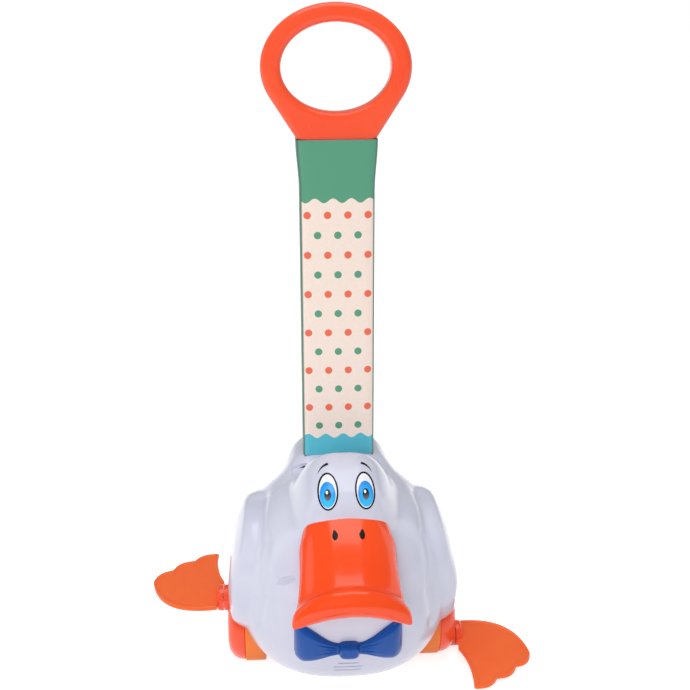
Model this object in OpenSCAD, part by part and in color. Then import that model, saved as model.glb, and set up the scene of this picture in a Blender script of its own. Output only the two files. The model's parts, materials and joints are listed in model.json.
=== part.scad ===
// Duck push toy: hollow duck body, extending ring handle, wheels with flapping feet.
// Millimetres, +Z up, the duck looks along -Y, its own left side is +X.

/* [Body] */
// Half width of the torso below the wings
torso_w = 73.5; // [70:0.5:78]
// Depth of the torso in front of the axle
torso_front = 81.5; // [78:0.5:85]
// Depth of the torso behind the axle
torso_rear = 70; // [66:0.5:74]
// Height of the torso's widest level above the floor
torso_z = 72; // [68:0.5:76]
// Rise of the torso above its widest level
torso_up = 76; // [72:0.5:80]
// Clearance of the belly above the floor
belly_gap = 5; // [3:0.5:9]
// Fullness of the torso, 2 is an ellipsoid
torso_fullness = 2.5; // [2.3:0.1:2.8]
// Wall of the moulded shells
wall = 2.4; // [1.8:0.1:3]
// Length of the tail beyond the torso
tail_len = 20; // [12:1:26]
// Height of the tail above the floor
tail_z = 96; // [88:1:104]

/* [Head] */
// Half width of the head and neck
head_w = 39; // [36:0.5:42]
// Half depth of the head and neck
head_d = 42; // [39:0.5:45]
// Distance of the crown in front of the axle
head_fwd = 44; // [40:0.5:48]
// Height of the crown above the floor
head_top = 172.5; // [168:0.5:176]
// Half width of the collar that holds the handle
collar_w = 41; // [38:0.5:44]
// Half depth of the collar
collar_d = 30; // [28:0.5:32]
// Distance of the collar's top behind the axle
collar_back = 42; // [40:0.5:44]
// Height of the collar's top above the floor
collar_top = 155.5; // [153:0.5:158]
// Fullness of the head, 2 is an ellipsoid
head_fullness = 3; // [2.6:0.1:3.4]
// Fullness of the collar, 2 is an ellipsoid
collar_fullness = 4.5; // [3.5:0.5:5.5]

/* [Wings] */
// Thickness of the raised wings
wing_t = 7.5; // [6:0.5:9]
// Half length of a wing, front to back
wing_len = 50; // [44:1:56]
// Half height of a wing
wing_h = 48; // [44:1:52]
// Distance of a wing's centre behind the axle
wing_back = 2; // [-4:1:8]
// Height of a wing's centre above the floor
wing_z = 82; // [78:1:86]

/* [Bill] */
// Width of the bill where it leaves the head
bill_root_w = 65; // [62:1:68]
// Width of the bill across its lip
bill_tip_w = 80; // [74:1:88]
// Reach of the lip in front of the axle
bill_reach = 118; // [114:1:124]
// Height of the bill's middle line at the head
bill_root_z = 136; // [133:0.5:140]
// Height of the bill's middle line at the lip
bill_tip_z = 105; // [101:1:109]
// Thickness of the bill at the head
bill_root_t = 29; // [26:1:32]
// Thickness of the bill behind its lip
bill_waist_t = 11; // [9:0.5:13]
// Thickness of the rolled lip
bill_tip_t = 17; // [14:0.5:19]
// Upward turn of the rolled lip
bill_lip_rise = 5; // [3:0.5:7]
// Drop of the lip's corners below its middle
bill_arch = 15; // [11:1:18]

/* [Bow tie] */
// Width of the bow tie
bow_w = 74; // [66:1:82]
// Height of the bow tie's loops
bow_h = 27; // [23:1:31]
// Height of the knot
knot_h = 15; // [12:0.5:18]
// Width of the knot
knot_w = 15; // [12:0.5:18]
// Height of the bow tie's centre above the floor
bow_z = 58; // [55:0.5:61]
// How far the bow tie stands proud of the chest
bow_t = 7; // [5:0.5:9]
// Length of a sound slot in the belly
slot_w = 24; // [18:1:30]
// Height of a sound slot
slot_h = 1.2; // [0.8:0.1:1.6]

/* [Handle] */
// Backward lean of the handle in degrees
lean = 4; // [2:0.5:6]
// Distance of the handle's axis behind the axle, at the collar
handle_back = 34; // [32:0.5:36]
// Height of the card sleeve's lower end above the floor
handle_z = 155; // [152:0.5:158]
// Width of the fixed lower tube
tube_w = 49.8; // [47:0.2:51]
// Depth of the fixed lower tube
tube_d = 22.8; // [22:0.2:24]
// Corner radius of the fixed lower tube
tube_r = 3; // [1.5:0.5:4]
// Wall of the fixed lower tube
tube_wall = 2; // [1.6:0.1:2.4]
// Length of the lower tube inside the body
tube_in = 55; // [48:1:60]
// Length of the lower tube above the body
tube_out = 224; // [205:1:240]
// Travel of the telescopic handle
travel = 120; // [80:5:130]
// Width of the ring handle
ring_w = 102; // [94:1:110]
// Height of the ring handle
ring_h = 85; // [80:1:90]
// Width of the ring's band, seen from the front
band_w = 13; // [11:0.5:15]
// Depth of the ring's band, front to back
band_d = 18; // [16:0.5:20]
// Rounding of the ring's band
band_r = 5; // [3:0.5:5]
// Length of the neck between the tube and the ring
neck_len = 5; // [4:0.5:9]
// Width of the neck above the tube
neck_w = 54; // [50:1:56]
// Radius of the pin that guides the telescopic stem
guide_r = 2.5; // [2:0.25:3]

/* [Card sleeve] */
// Thickness of the card
card_t = 0.8; // [0.5:0.1:1.2]
// Widening of the sleeve at its top, on each side
flare = 2; // [1:0.25:3]
// Length of the widened top
flare_len = 35; // [25:1:45]

/* [Wheels] */
// Radius of the tyre bands
tyre_r = 30; // [28:0.5:32]
// Width of a tyre band
tyre_w = 15; // [12:0.5:16]
// Thickness of a tyre band
tyre_t = 4.5; // [3.5:0.5:6]
// Step from the tyre down to the hub
hub_step = 1; // [0.5:0.25:2]
// Width of the domed hub outside the tyre
hub_w = 13.5; // [12:0.5:15]
// Rounding of the hub's outer edge
hub_round = 11; // [8:0.5:12]
// Distance of the tyre's inner face from the middle plane
wheel_in = 56.5; // [56:0.5:58]
// Radius of the axle
axle_r = 4; // [3:0.25:5]
// Number of teeth on the click wheel
click_teeth = 8; // [6:1:12]
// Radius of the click wheel
click_r = 15; // [13:0.5:17]
// Depth of the click wheel's teeth
click_depth = 5; // [4:0.25:6]
// Thickness of the click wheel
click_w = 6; // [5:0.5:8]
// Thickness of the click tongue
tongue_t = 1.2; // [0.8:0.1:1.6]

/* [Feet] */
// Distance of a foot's pin from the axle
foot_offset = 19.5; // [17.5:0.5:20]
// Length of a foot from its root to its toes
foot_len = 52; // [48:1:58]
// Width of a foot across its toes
foot_w = 61; // [55:1:64]
// Forward bulge of the row of toes
toe_row_bulge = 4.5; // [3:0.5:6]
// Bulge of each toe beyond the row
toe_bulge = 3.2; // [2:0.2:5]
// Outward bulge of a foot's outer edge
foot_belly = 16; // [12:0.5:18]
// Inward curve of a foot's inner edge
foot_waist = 2.5; // [1:0.5:4]
// Outward turn of a foot in degrees
foot_splay = 37; // [34:1:40]
// Thickness of a foot
foot_t = 3.4; // [2.6:0.2:4.2]
// Radius of the boss that carries a foot
boss_r = 9.5; // [8:0.5:10]
// Length of the boss on the wheel
boss_len = 1.5; // [1:0.5:4]
// Width of a foot's eye on its pin
eye_w = 5; // [4.5:0.5:7]
// Radius of a foot's pin
pin_r = 3; // [2.5:0.25:3.5]
// Radius of the glide under the rear of the belly
glide_r = 10; // [8:0.5:12]

/* [Fits] */
// Gap between seated pieces
seat = 0.15; // [0.1:0.05:0.25]
// Radial gap of turning fits
run = 0.06; // [0.04:0.01:0.1]
// Gap beside parts that move
side_gap = 0.4; // [0.3:0.1:0.6]
// Gap between a wheel and its arch
arch_gap = 3.5; // [2.5:0.5:5]
// Radius of the screws
screw_r = 1.5; // [1.25:0.25:2]
// Radius of the screw heads
head_r = 2.9; // [2.5:0.1:3.2]
// Height of the screw heads
head_t = 2; // [1.5:0.1:2.5]

/* [Hidden] */
$fn = 64;

white = [0.87, 0.88, 0.95];
orange = [0.98, 0.36, 0.2];
soft_orange = [0.95, 0.42, 0.2];
amber = [0.98, 0.62, 0.2];
blue = [0.16, 0.35, 0.63];
cream = [0.93, 0.87, 0.82];
steel = [0.75, 0.76, 0.78];

axle_z = tyre_r;
torso_down = torso_z - belly_gap;
core = [0, 0, torso_z];
overlap = 0.5;

// Skin of the duck: distance from the core along a unit direction.
blend_power = 16;
wing_edge = 0.45;
tail_spread = 15;
head_axis = [0, -head_fwd, head_top - torso_z];
collar_h = collar_top - torso_z;
tail_dir = unit([0, torso_rear, tail_z - torso_z]);

function unit(v) = v / norm(v);
function ramp(t) = t <= 0 ? 0 : t >= 1 ? 1 : t * t * (3 - 2 * t);
function torso_r(d) = pow(
    pow(abs(d.x) / torso_w, torso_fullness)
    + pow(abs(d.y) / (d.y < 0 ? torso_front : torso_rear), torso_fullness)
    + pow(abs(d.z) / (d.z > 0 ? torso_up : torso_down), torso_fullness),
    -1 / torso_fullness);
// Reach of a rounded form whose extents a direction takes in the shares u, v and z.
function rounded_r(u, v, z, n) = pow(pow(abs(u), n) + pow(abs(v), n) + pow(abs(z), n), -1 / n);
// The head leans forward about the core, the collar is sheared backwards and keeps a level top.
function head_r_at(d) =
    let (up = unit(head_axis), across = [0, up.z, -up.y])
    d.z > 0 ? rounded_r(d.x / head_w, d * across / head_d, d * up / norm(head_axis), head_fullness) : 0;
function collar_r_at(d) =
    let (lean_y = d.y - d.z * collar_back / collar_h)
    d.z > 0 ? rounded_r(d.x / collar_w, lean_y / collar_d, d.z / collar_h, collar_fullness) : 0;
function form_r(d) = pow(
    pow(torso_r(d), blend_power)
    + pow(head_r_at(d), blend_power)
    + pow(collar_r_at(d), blend_power),
    1 / blend_power);
function wing_rise(d, r) =
    let (u = pow(abs((r * d.y - wing_back) / wing_len), torso_fullness))
    let (v = pow(abs((r * d.z - wing_z + torso_z) / wing_h), torso_fullness))
    wing_t * ramp((1 - u - v) / wing_edge) * ramp((abs(d.x) - 0.3) / 0.25);
function tail_rise(d) =
    let (turn = acos(min(1, d * tail_dir)) / tail_spread)
    tail_len * exp(-turn * turn);
function skin_r(d) = let (r = form_r(d)) r + wing_rise(d, r) + tail_rise(d);
// Front of the chest at a given place across and up.
function chest_y(x, z) = -torso_front * pow(
    1 - pow(abs(x) / torso_w, torso_fullness)
    - pow(abs(z - torso_z) / (z > torso_z ? torso_up : torso_down), torso_fullness),
    1 / torso_fullness);
// Front of the head on the middle plane, found along the ray that reaches a given height.
function face_ray(z, low, high, steps) =
    let (t = (low + high) / 2, d = [0, -sin(t), cos(t)])
    let (above = core.z + skin_r(d) * d.z > z)
    steps == 0 ? d : above ? face_ray(z, t, high, steps - 1) : face_ray(z, low, t, steps - 1);
function face_y(z) = let (d = face_ray(z, 20, 90, 14)) skin_r(d) * d.y;

// Rings and slices of the skin and of the hollow inside it
skin_rings = 17;
skin_slices = 60;
hollow_rings = 9;
hollow_slices = 32;

// The whole part is shifted so that its footprint is centred on the origin.
rear_reach = max([for (i = [0:skin_rings])
    let (t = 90 * i / skin_rings, d = [0, cos(t), sin(t)]) skin_r(d) * d.y]);
axle_y = (bill_reach - rear_reach) / 2;

// Solid half of the duck in front (side -1) or behind (side 1) of the axle plane.
// grow moves the skin outwards, past carries the half beyond the axle plane,
// plain leaves the wings and the tail out.
module duck_half(side, grow, past = 0, rings = skin_rings, slices = skin_slices, plain = false) {
    function reach(d) = (plain ? form_r(d) : skin_r(d)) + grow;
    function ray(i, j) = let (t = 90 * i / rings, a = 360 * j / slices)
        [sin(t) * cos(a), side * cos(t), sin(t) * sin(a)];
    skin = [for (i = [1:rings]) for (j = [0:slices - 1])
        let (d = ray(i, j)) core + reach(d) * d];
    rim = [for (j = [0:slices - 1])
        let (d = ray(rings, j)) core + reach(d) * d - [0, side * past, 0]];
    pole = core + [0, side, 0] * reach([0, side, 0]);
    last = past > 0 ? rings : rings - 1;
    points = concat([pole], skin, past > 0 ? rim : []);
    tip = [for (j = [0:slices - 1]) [0, 1 + j, 1 + (j + 1) % slices]];
    walls = [for (i = [0:last - 1]) for (j = [0:slices - 1]) for (k = [0, 1])
        let (a = 1 + i * slices + j, b = 1 + i * slices + (j + 1) % slices)
        k == 0 ? [a, a + slices, b] : [b, a + slices, b + slices]];
    cap = [[for (j = [0:slices - 1]) 1 + last * slices + slices - 1 - j]];
    outward = concat(tip, walls, cap);
    faces = side < 0 ? [for (f = outward) [for (i = [len(f) - 1:-1:0]) f[i]]] : outward;
    polyhedron(points = points, faces = faces, convexity = 6);
}

// Closed solid through rings of an even number of points; point j lies across from point count - j.
module loft(rings) {
    count = len(rings[0]);
    rows = len(rings);
    points = [for (ring = rings) for (p = ring) p];
    sides = [for (i = [0:rows - 2]) for (j = [0:count - 1]) for (k = [0, 1])
        let (a = i * count + j, b = i * count + (j + 1) % count)
        k == 0 ? [a, b, a + count] : [b, b + count, a + count]];
    half = floor(count / 2);
    strip = [for (j = [0:half - 1]) for (k = [0, 1])
        k == 0 ? [j, j + 1, (count - j) % count] : [j + 1, count - j - 1, (count - j) % count]];
    first = [for (f = strip) if (f[0] != f[2] && f[0] != f[1]) [f[2], f[1], f[0]]];
    last = [for (f = strip) if (f[0] != f[2] && f[0] != f[1]) [for (i = f) i + (rows - 1) * count]];
    polyhedron(points = points, faces = concat(sides, first, last), convexity = 4);
}

module placed() { translate([0, axle_y, 0]) children(); }
module at_axle() { translate([0, 0, axle_z]) children(); }
module along_x(x0, x1, r) { translate([x0, 0, 0]) rotate([0, 90, 0]) cylinder(h = x1 - x0, r = r); }
module along_y(y0, y1, r) { translate([0, y0, 0]) rotate([-90, 0, 0]) cylinder(h = y1 - y0, r = r); }
module mirrored() { mirror([1, 0, 0]) children(); }
module rounded(w, d, r) {
    square([w - 2 * r, d], center = true);
    square([w, d - 2 * r], center = true);
    for (x = [-1, 1]) for (y = [-1, 1]) translate([x * (w / 2 - r), y * (d / 2 - r)]) circle(r);
}

// Screw along +Y with its head's underside at y = 0.
module screw(length) {
    along_y(-head_t, 0, head_r);
    along_y(-overlap, length, screw_r);
}

// Wheel arches, their walls and the bush holes
bush_wall = 3;
flange_lip = 1;
bush_r = axle_r + bush_wall;
flange_r = bush_r + flange_lip;
flange_t = 1.2;
arch_r = tyre_r + arch_gap;
arch_in = wheel_in - side_gap - flange_t - seat;
arch_reach = torso_w + wing_t + wall;
module arches(grow) {
    for (s = [0, 1]) mirror([s, 0, 0]) at_axle() along_x(arch_in - grow, arch_reach, arch_r + grow);
}
module bush_holes() { at_axle() along_x(-arch_in - wall, arch_in + wall, bush_r + seat); }

// Shell screws run from the back into posts of the front shell.
post_wall = 2.6;
post_r = screw_r + post_wall;
post_high_x = 46;
post_high_z = 106;
post_low_x = 30;
post_low_z = 16;
post_spots = [
    [-post_high_x, post_high_z], [post_high_x, post_high_z],
    [-post_low_x, post_low_z], [post_low_x, post_low_z]
];
post_bore = 18;
post_seat = 16;
module posts(y0, y1, r) {
    for (p = post_spots) translate([p.x, 0, p.y]) along_y(y0, y1, r);
}

// Sound slots in the belly
slot_top_z = 42;
slot_pitch = 3.5;
slot_count = 3;
slot_zs = [for (i = [0:slot_count - 1]) slot_top_z - i * slot_pitch];
module sound_slots() {
    for (z = slot_zs) translate([-slot_w / 2, -torso_front - wall, z - slot_h / 2])
        cube([slot_w, torso_front / 2, slot_h]);
}

// Inside bosses for the bill's and the bow tie's screws
bill_screw_x = 15;
bill_spots = [[-bill_screw_x, bill_root_z], [bill_screw_x, bill_root_z]];
bill_boss = 6;
bill_bite = 9;
bow_boss = 4;
bow_bite = bow_t - 2;
boss_lip = 1.6;
bill_boss_y = face_y(bill_root_z) + wall + bill_boss;
bill_screw_len = wall + bill_boss + bill_bite;
bow_boss_y = chest_y(0, bow_z) + wall + bow_boss;
bow_screw_len = wall + bow_boss + bow_bite;
boss_wall_r = head_r + boss_lip;
module bill_screw_places() { for (p = bill_spots) translate([p.x, bill_boss_y, p.y]) children(); }
module bow_screw_place() { translate([0, bow_boss_y, bow_z]) children(); }

// Shelf of the click tongue
click_x = -click_w / 2;
shelf_w = click_w + 8;
shelf_t = 5;
shelf_y = click_r + 3;
tongue_bite = 0.7;
tongue_tip_y = click_r - tongue_bite * click_depth;
tongue_len = 20;
tongue_w = click_w - 1;
tongue_screw_y = shelf_y + 10;
tongue_z = axle_z - tongue_t / 2;
tongue_screw_len = tongue_t + shelf_t - 1;
module tongue_screw_place() {
    translate([0, tongue_screw_y, tongue_z + tongue_t]) rotate([-90, 0, 0]) children();
}

// Handle frame: its origin is at the lower end of the card sleeve, z runs up the handle.
module on_handle() { translate([0, handle_back, handle_z]) rotate([-lean, 0, 0]) children(); }
module handle_bar(w, d, r, z0, z1) { translate([0, 0, z0]) linear_extrude(z1 - z0) rounded(w, d, r); }
socket_r = tube_r + seat;
module socket_hole() {
    on_handle() handle_bar(tube_w + 2 * seat, tube_d + 2 * seat, socket_r, -tube_in - seat, tube_out);
}
module socket_block() {
    on_handle() handle_bar(tube_w + 2 * wall, tube_d + 2 * wall, socket_r, -tube_in - wall, tube_in);
}
socket_screw_x = 14;
socket_screw_rise = 8;
socket_screw_z = -tube_in + socket_screw_rise;
socket_screw_y = -tube_d / 2 - wall;
socket_screw_len = wall + tube_wall;
module socket_screw_places() {
    on_handle() for (s = [-1, 1]) translate([s * socket_screw_x, socket_screw_y, socket_screw_z]) children();
}

module shell(side) {
    difference() {
        duck_half(side, 0);
        arches(0);
        difference() {
            duck_half(side, -wall, 1, hollow_rings, hollow_slices, true);
            arches(wall);
            children();
        }
        bush_holes();
    }
}

module body_front_shell() {
    color(white) placed() difference() {
        shell(-1) union() {
            posts(-torso_front, 1, post_r);
            bill_screw_places() along_y(-head_d, 0, boss_wall_r);
            bow_screw_place() along_y(-torso_front, 0, boss_wall_r);
        }
        posts(-post_bore, 1, screw_r + seat);
        bill_screw_places() along_y(-head_d, 1, screw_r + seat);
        bow_screw_place() along_y(-torso_front, 1, screw_r + seat);
        sound_slots();
    }
}

module body_rear_shell() {
    color(white) placed() difference() {
        shell(1) union() {
            posts(-1, torso_rear, post_r + wall);
            socket_block();
            translate([-shelf_w / 2, shelf_y, tongue_z - shelf_t]) cube([shelf_w, torso_rear, shelf_t]);
        }
        posts(-1, torso_rear, screw_r + seat);
        posts(post_seat, torso_rear + tail_len, head_r + seat);
        socket_hole();
        socket_screw_places() along_y(-1, socket_screw_len + 1, screw_r + seat);
        tongue_screw_place() along_y(-1, tongue_screw_len, screw_r + seat);
    }
}

// Bill: rings along its length, each a bent oval; it starts inside the head.
bill_rows = 14;
bill_sides = 28;
bill_sunk = 18;
bill_face_y = face_y(bill_root_z);
bill_start_y = bill_face_y + bill_sunk;
bill_slope = (bill_tip_z - bill_root_z) / (bill_reach + bill_face_y);
bill_flare = 2.8;
bill_inset = 8;
bill_sweep = 9;
lip_share = 0.92;
lip_power = 6;
root_arch = 0.8;
function bill_ring(s) =
    let (y = bill_start_y - (bill_reach + bill_start_y) * s)
    let (out = max(0, (bill_face_y - y) / (bill_reach + bill_face_y)))
    let (sunk = max(0, (y - bill_face_y) / bill_sunk))
    let (w = bill_root_w - bill_inset * sunk + (bill_tip_w - bill_root_w) * pow(out, bill_flare))
    let (roll = pow(out, lip_power))
    let (t = bill_root_t + (bill_waist_t - bill_root_t) * ramp(out * 1.25) + (bill_tip_t - bill_waist_t) * roll)
    let (z = bill_root_z + bill_slope * (bill_face_y - y) + bill_lip_rise * roll)
    let (lip = s > lip_share ? sqrt(1 - pow((s - lip_share) / (1 - lip_share + 0.005), 2)) : 1)
    [for (j = [0:bill_sides - 1])
        let (a = 360 * j / bill_sides)
        let (u = sign(cos(a)) * pow(abs(cos(a)), 0.8))
        [w / 2 * u * (0.94 + 0.06 * lip), y + bill_sweep * out * u * u,
            z - bill_arch * u * u * (root_arch + (1 - root_arch) * out) + t / 2 * lip * sin(a)]];
module bill() {
    color(orange) placed() difference() {
        loft([for (i = [0:bill_rows]) bill_ring(i / bill_rows)]);
        duck_half(-1, seat);
        bill_screw_places() along_y(-bill_screw_len, 0, screw_r);
    }
}

// Bow tie: rings across the chest, pinched at both sides of the knot.
bow_rows = 24;
bow_sides = 20;
bow_pinch = 0.72;
bow_body = 0.46;
bow_end = 0.042;
function bow_ring(s) =
    let (x = bow_w * (s - 0.5))
    let (k = abs(x) / (knot_w / 2))
    let (along = (abs(x) - knot_w / 2) / (bow_w / 2 - knot_w / 2))
    let (loop = knot_h * bow_pinch + (bow_h - knot_h * bow_pinch) * ramp(along * 1.2))
    let (tip = abs(s - 0.5) > bow_body ? sqrt(1 - pow((abs(s - 0.5) - bow_body) / bow_end, 2)) : 1)
    let (h = (k < 1 ? max(loop, knot_h * pow(1 - pow(k, 4), 0.25)) : loop) * (0.72 + 0.28 * tip))
    let (t = bow_t * (k < 1 ? 1 : 0.62 + 0.3 * ramp(k - 1.2)) * tip)
    [for (j = [0:bow_sides - 1])
        let (a = -360 * j / bow_sides)
        [x, chest_y(x, bow_z) - t * cos(a), bow_z + h / 2 * sin(a)]];
module bow_tie() {
    color(blue) placed() difference() {
        loft([for (i = [0:bow_rows]) bow_ring(i / bow_rows)]);
        duck_half(-1, seat);
        bow_screw_place() along_y(-bow_screw_len, 0, screw_r);
    }
}

module shell_screws() {
    color(steel) placed() for (p = post_spots)
        translate([p.x, post_seat, p.y]) rotate([0, 0, 180]) screw(post_seat + post_bore - 2);
}
module bill_screws() {
    color(steel) placed() bill_screw_places() rotate([0, 0, 180]) screw(bill_screw_len);
}
module bow_tie_screw() {
    color(steel) placed() bow_screw_place() rotate([0, 0, 180]) screw(bow_screw_len);
}
module socket_screws() { color(steel) placed() socket_screw_places() screw(socket_screw_len); }
module tongue_screw() { color(steel) placed() tongue_screw_place() screw(tongue_screw_len); }

module axle_bush() {
    at_axle() difference() {
        union() {
            along_x(arch_in - wall - seat - flange_t, arch_in + seat + flange_t, bush_r);
            along_x(arch_in + seat, arch_in + seat + flange_t, flange_r);
            along_x(arch_in - wall - seat - flange_t, arch_in - wall - seat, flange_r);
        }
        along_x(0, wheel_in, axle_r + run);
    }
}
module left_axle_bush() { color(cream) placed() axle_bush(); }
module right_axle_bush() { color(cream) placed() mirrored() axle_bush(); }

module click_tongue() {
    color(cream) placed() difference() {
        translate([-tongue_w / 2, tongue_tip_y, tongue_z]) cube([tongue_w, tongue_len, tongue_t]);
        tongue_screw_place() along_y(-1, tongue_len, screw_r + seat);
    }
}

// Glide under the rear of the belly, level with the wheels
glide_y = 38;
glide_top = belly_gap + 12;
module heel_glide() {
    color(white) placed() difference() {
        translate([0, glide_y, 0]) cylinder(h = glide_top, r1 = glide_r, r2 = glide_r + 2);
        duck_half(1, seat);
    }
}

// Fixed lower tube with the guide ring in its mouth
ring_wall = 1.6;
ring_sink = 12;
ring_flange = 2;
inner_w = tube_w - 2 * tube_wall;
inner_d = tube_d - 2 * tube_wall;
inner_r = tube_r - tube_wall;
stem_w = inner_w - 2 * ring_wall - 2 * seat - 2 * side_gap;
stem_d = inner_d - 2 * ring_wall - 2 * seat - 2 * side_gap;
guide_z = tube_out - 40;
module handle_lower_tube() {
    color(orange) placed() difference() {
        on_handle() handle_bar(tube_w, tube_d, tube_r, -tube_in, tube_out);
        on_handle() handle_bar(inner_w, inner_d, inner_r, -tube_in - 1, tube_out + 1);
        on_handle() translate([0, 0, guide_z]) along_y(-tube_d, tube_d, guide_r);
        socket_screw_places() along_y(0, socket_screw_len + 1, screw_r);
    }
}
module tube_end_ring() {
    mouth_w = stem_w + 2 * side_gap;
    mouth_d = stem_d + 2 * side_gap;
    color(white) placed() on_handle() difference() {
        union() {
            handle_bar(tube_w, tube_d, tube_r, tube_out, tube_out + ring_flange);
            handle_bar(inner_w - 2 * seat, inner_d - 2 * seat, inner_r, tube_out - ring_sink, tube_out + overlap);
        }
        translate([0, 0, tube_out]) cube([mouth_w, mouth_d, 4 * ring_sink], center = true);
    }
}
module guide_pin() {
    color(steel) placed() on_handle() translate([0, 0, guide_z]) along_y(-tube_d / 2, tube_d / 2, guide_r);
}

// Card sleeve round the lower tube, wider at its top
sleeve_gap = 0.3;
sleeve_skirt = 6;
sleeve_top = tube_out + ring_flange;
module sleeve_form(grow) {
    w = tube_w + 2 * sleeve_gap + 2 * grow;
    d = tube_d + 2 * sleeve_gap + 2 * grow;
    r = tube_r + grow;
    spare = grow > 0 ? 0 : 1;
    handle_bar(w, d, r, -sleeve_skirt - spare, sleeve_top - flare_len + overlap);
    hull() {
        handle_bar(w, d, r, sleeve_top - flare_len, sleeve_top - flare_len + overlap);
        handle_bar(w + 2 * flare, d, r, sleeve_top + spare - overlap, sleeve_top + spare);
    }
}
module card_sleeve() {
    color(cream) placed() difference() {
        on_handle() sleeve_form(card_t);
        on_handle() sleeve_form(0);
        duck_half(1, sleeve_gap);
    }
}

// Ring handle and stem, moulded as a front and a rear half
ring_mid_r = (ring_h - band_w) / 2;
ring_off = (ring_w - ring_h) / 2;
grip_z = sleeve_top + side_gap;
ring_z = grip_z + neck_len + ring_h / 2;
stem_slot_gap = side_gap + 0.4;
stem_end = 15;
stem_bottom = guide_z - travel - guide_r - stem_slot_gap - stem_end;
module band_half() {
    intersection() {
        rounded(band_w, band_d, band_r);
        translate([-band_w, 0]) square([2 * band_w, band_d]);
    }
}
function on_band(a, r) = [ring_off + r * sin(a), -r * cos(a)];
// The neck leaves its foot with a flare and runs past the band's outer edge before it dips into it.
neck_flare = 1.5;
neck_over = 1;
neck_dip = 0.5;
neck_leave_a = 36;
neck_land_a = 46;
neck_inner_a = 20;
module neck_outline() {
    low = -ring_h / 2 - neck_len;
    right = [
        [neck_w / 2, low], [neck_w / 2 + neck_flare, low + neck_len],
        on_band(neck_leave_a, ring_h / 2 + neck_over), on_band(neck_land_a, ring_h / 2 - neck_dip),
        on_band(neck_land_a, ring_mid_r), on_band(neck_inner_a, ring_mid_r)
    ];
    polygon(concat(right, [for (i = [len(right) - 1:-1:0]) [-right[i].x, right[i].y]]));
}
grip_screw_x = 16;
grip_screw_rise = 2;
grip_spots = [
    [-grip_screw_x, grip_screw_rise - ring_h / 2], [grip_screw_x, grip_screw_rise - ring_h / 2],
    [(band_w - ring_w) / 2, 0], [(ring_w - band_w) / 2, 0]
];
grip_head_depth = 4;
module grip_half() {
    difference() {
        union() {
            translate([0, 0, ring_z]) rotate([90, 0, 0]) {
                for (s = [0, 1]) mirror([s, 0, 0]) translate([ring_off, 0, 0]) rotate([0, 0, -90])
                    rotate_extrude(angle = 180) translate([ring_mid_r, 0]) band_half();
                for (s = [0, 1]) mirror([0, s, 0]) translate([-ring_off, ring_mid_r, 0]) rotate([90, 0, 90])
                    linear_extrude(2 * ring_off) band_half();
                linear_extrude(band_d / 2) neck_outline();
            }
            translate([-stem_w / 2, -stem_d / 2, stem_bottom])
                cube([stem_w, stem_d / 2, grip_z + overlap - stem_bottom]);
        }
        slot_half = guide_r + stem_slot_gap;
        for (z = [guide_z - travel, guide_z]) translate([0, 0, z]) along_y(-stem_d, stem_d, slot_half);
        translate([-slot_half, -stem_d, guide_z - travel]) cube([2 * slot_half, 2 * stem_d, travel]);
    }
}
module grip_screw_places() {
    on_handle() for (p = grip_spots) translate([p.x, band_d / 2 - grip_head_depth, ring_z + p.y])
        rotate([0, 0, 180]) children();
}
grip_screw_len = band_d / 2 - grip_head_depth + 6;
module grip_front_half() {
    color(orange) placed() difference() {
        on_handle() grip_half();
        grip_screw_places() along_y(-1, grip_screw_len, screw_r);
    }
}
module grip_rear_half() {
    color(orange) placed() difference() {
        on_handle() mirror([0, 1, 0]) grip_half();
        grip_screw_places() along_y(-1, grip_screw_len, screw_r + seat);
        grip_screw_places() along_y(-2 * grip_head_depth, 0, head_r + seat);
    }
}
module grip_screws() { color(steel) placed() grip_screw_places() screw(grip_screw_len); }

// Wheels
hub_face = wheel_in + tyre_w + hub_w;
hub_r = tyre_r - hub_step;
core_r = tyre_r - tyre_t;
hub_cap_t = 4;
pin_sink = 3;
axle_end = hub_face - hub_cap_t;
boss_end = hub_face + boss_len;
pin_start = hub_face - pin_sink;
module axle() { color(steel) placed() at_axle() along_x(-axle_end, axle_end, axle_r); }
module wheel_hub() {
    at_axle() difference() {
        union() {
            translate([wheel_in, 0, 0]) rotate([0, 90, 0]) rotate_extrude() {
                square([core_r, tyre_w + overlap]);
                translate([0, tyre_w]) square([hub_r, hub_w - hub_round]);
                translate([0, tyre_w]) square([hub_r - hub_round, hub_w]);
                intersection() {
                    translate([hub_r - hub_round, tyre_w + hub_w - hub_round]) circle(hub_round);
                    translate([0, tyre_w]) square([hub_r, hub_w]);
                }
            }
            translate([0, 0, -foot_offset]) along_x(hub_face - hub_round, boss_end, boss_r);
        }
        along_x(0, axle_end, axle_r + run);
        translate([0, 0, -foot_offset]) along_x(pin_start, boss_end + 1, pin_r + run);
    }
}
module tyre() {
    at_axle() difference() {
        along_x(wheel_in, wheel_in + tyre_w - seat, tyre_r);
        along_x(wheel_in - 1, wheel_in + tyre_w, core_r + run);
    }
}
// Right-hand pieces are the left-hand ones turned about the axle and mirrored.
module opposite() { at_axle() rotate([180, 0, 0]) mirrored() translate([0, 0, -axle_z]) children(); }
module left_wheel_hub() { color(orange) placed() wheel_hub(); }
module right_wheel_hub() { color(orange) placed() opposite() wheel_hub(); }
module left_tyre() { color(amber) placed() tyre(); }
module right_tyre() { color(amber) placed() opposite() tyre(); }

module click_wheel() {
    step = 180 / click_teeth;
    star = [for (i = [0:2 * click_teeth - 1])
        let (r = i % 2 == 0 ? click_r - click_depth : click_r)
        [r * sin(i * step), r * cos(i * step)]];
    color(amber) placed() at_axle() difference() {
        translate([click_x, 0, 0]) rotate([90, 0, 90]) linear_extrude(click_w) rotate(-90) polygon(star);
        along_x(-click_w, click_w, axle_r + run);
    }
}

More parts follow.
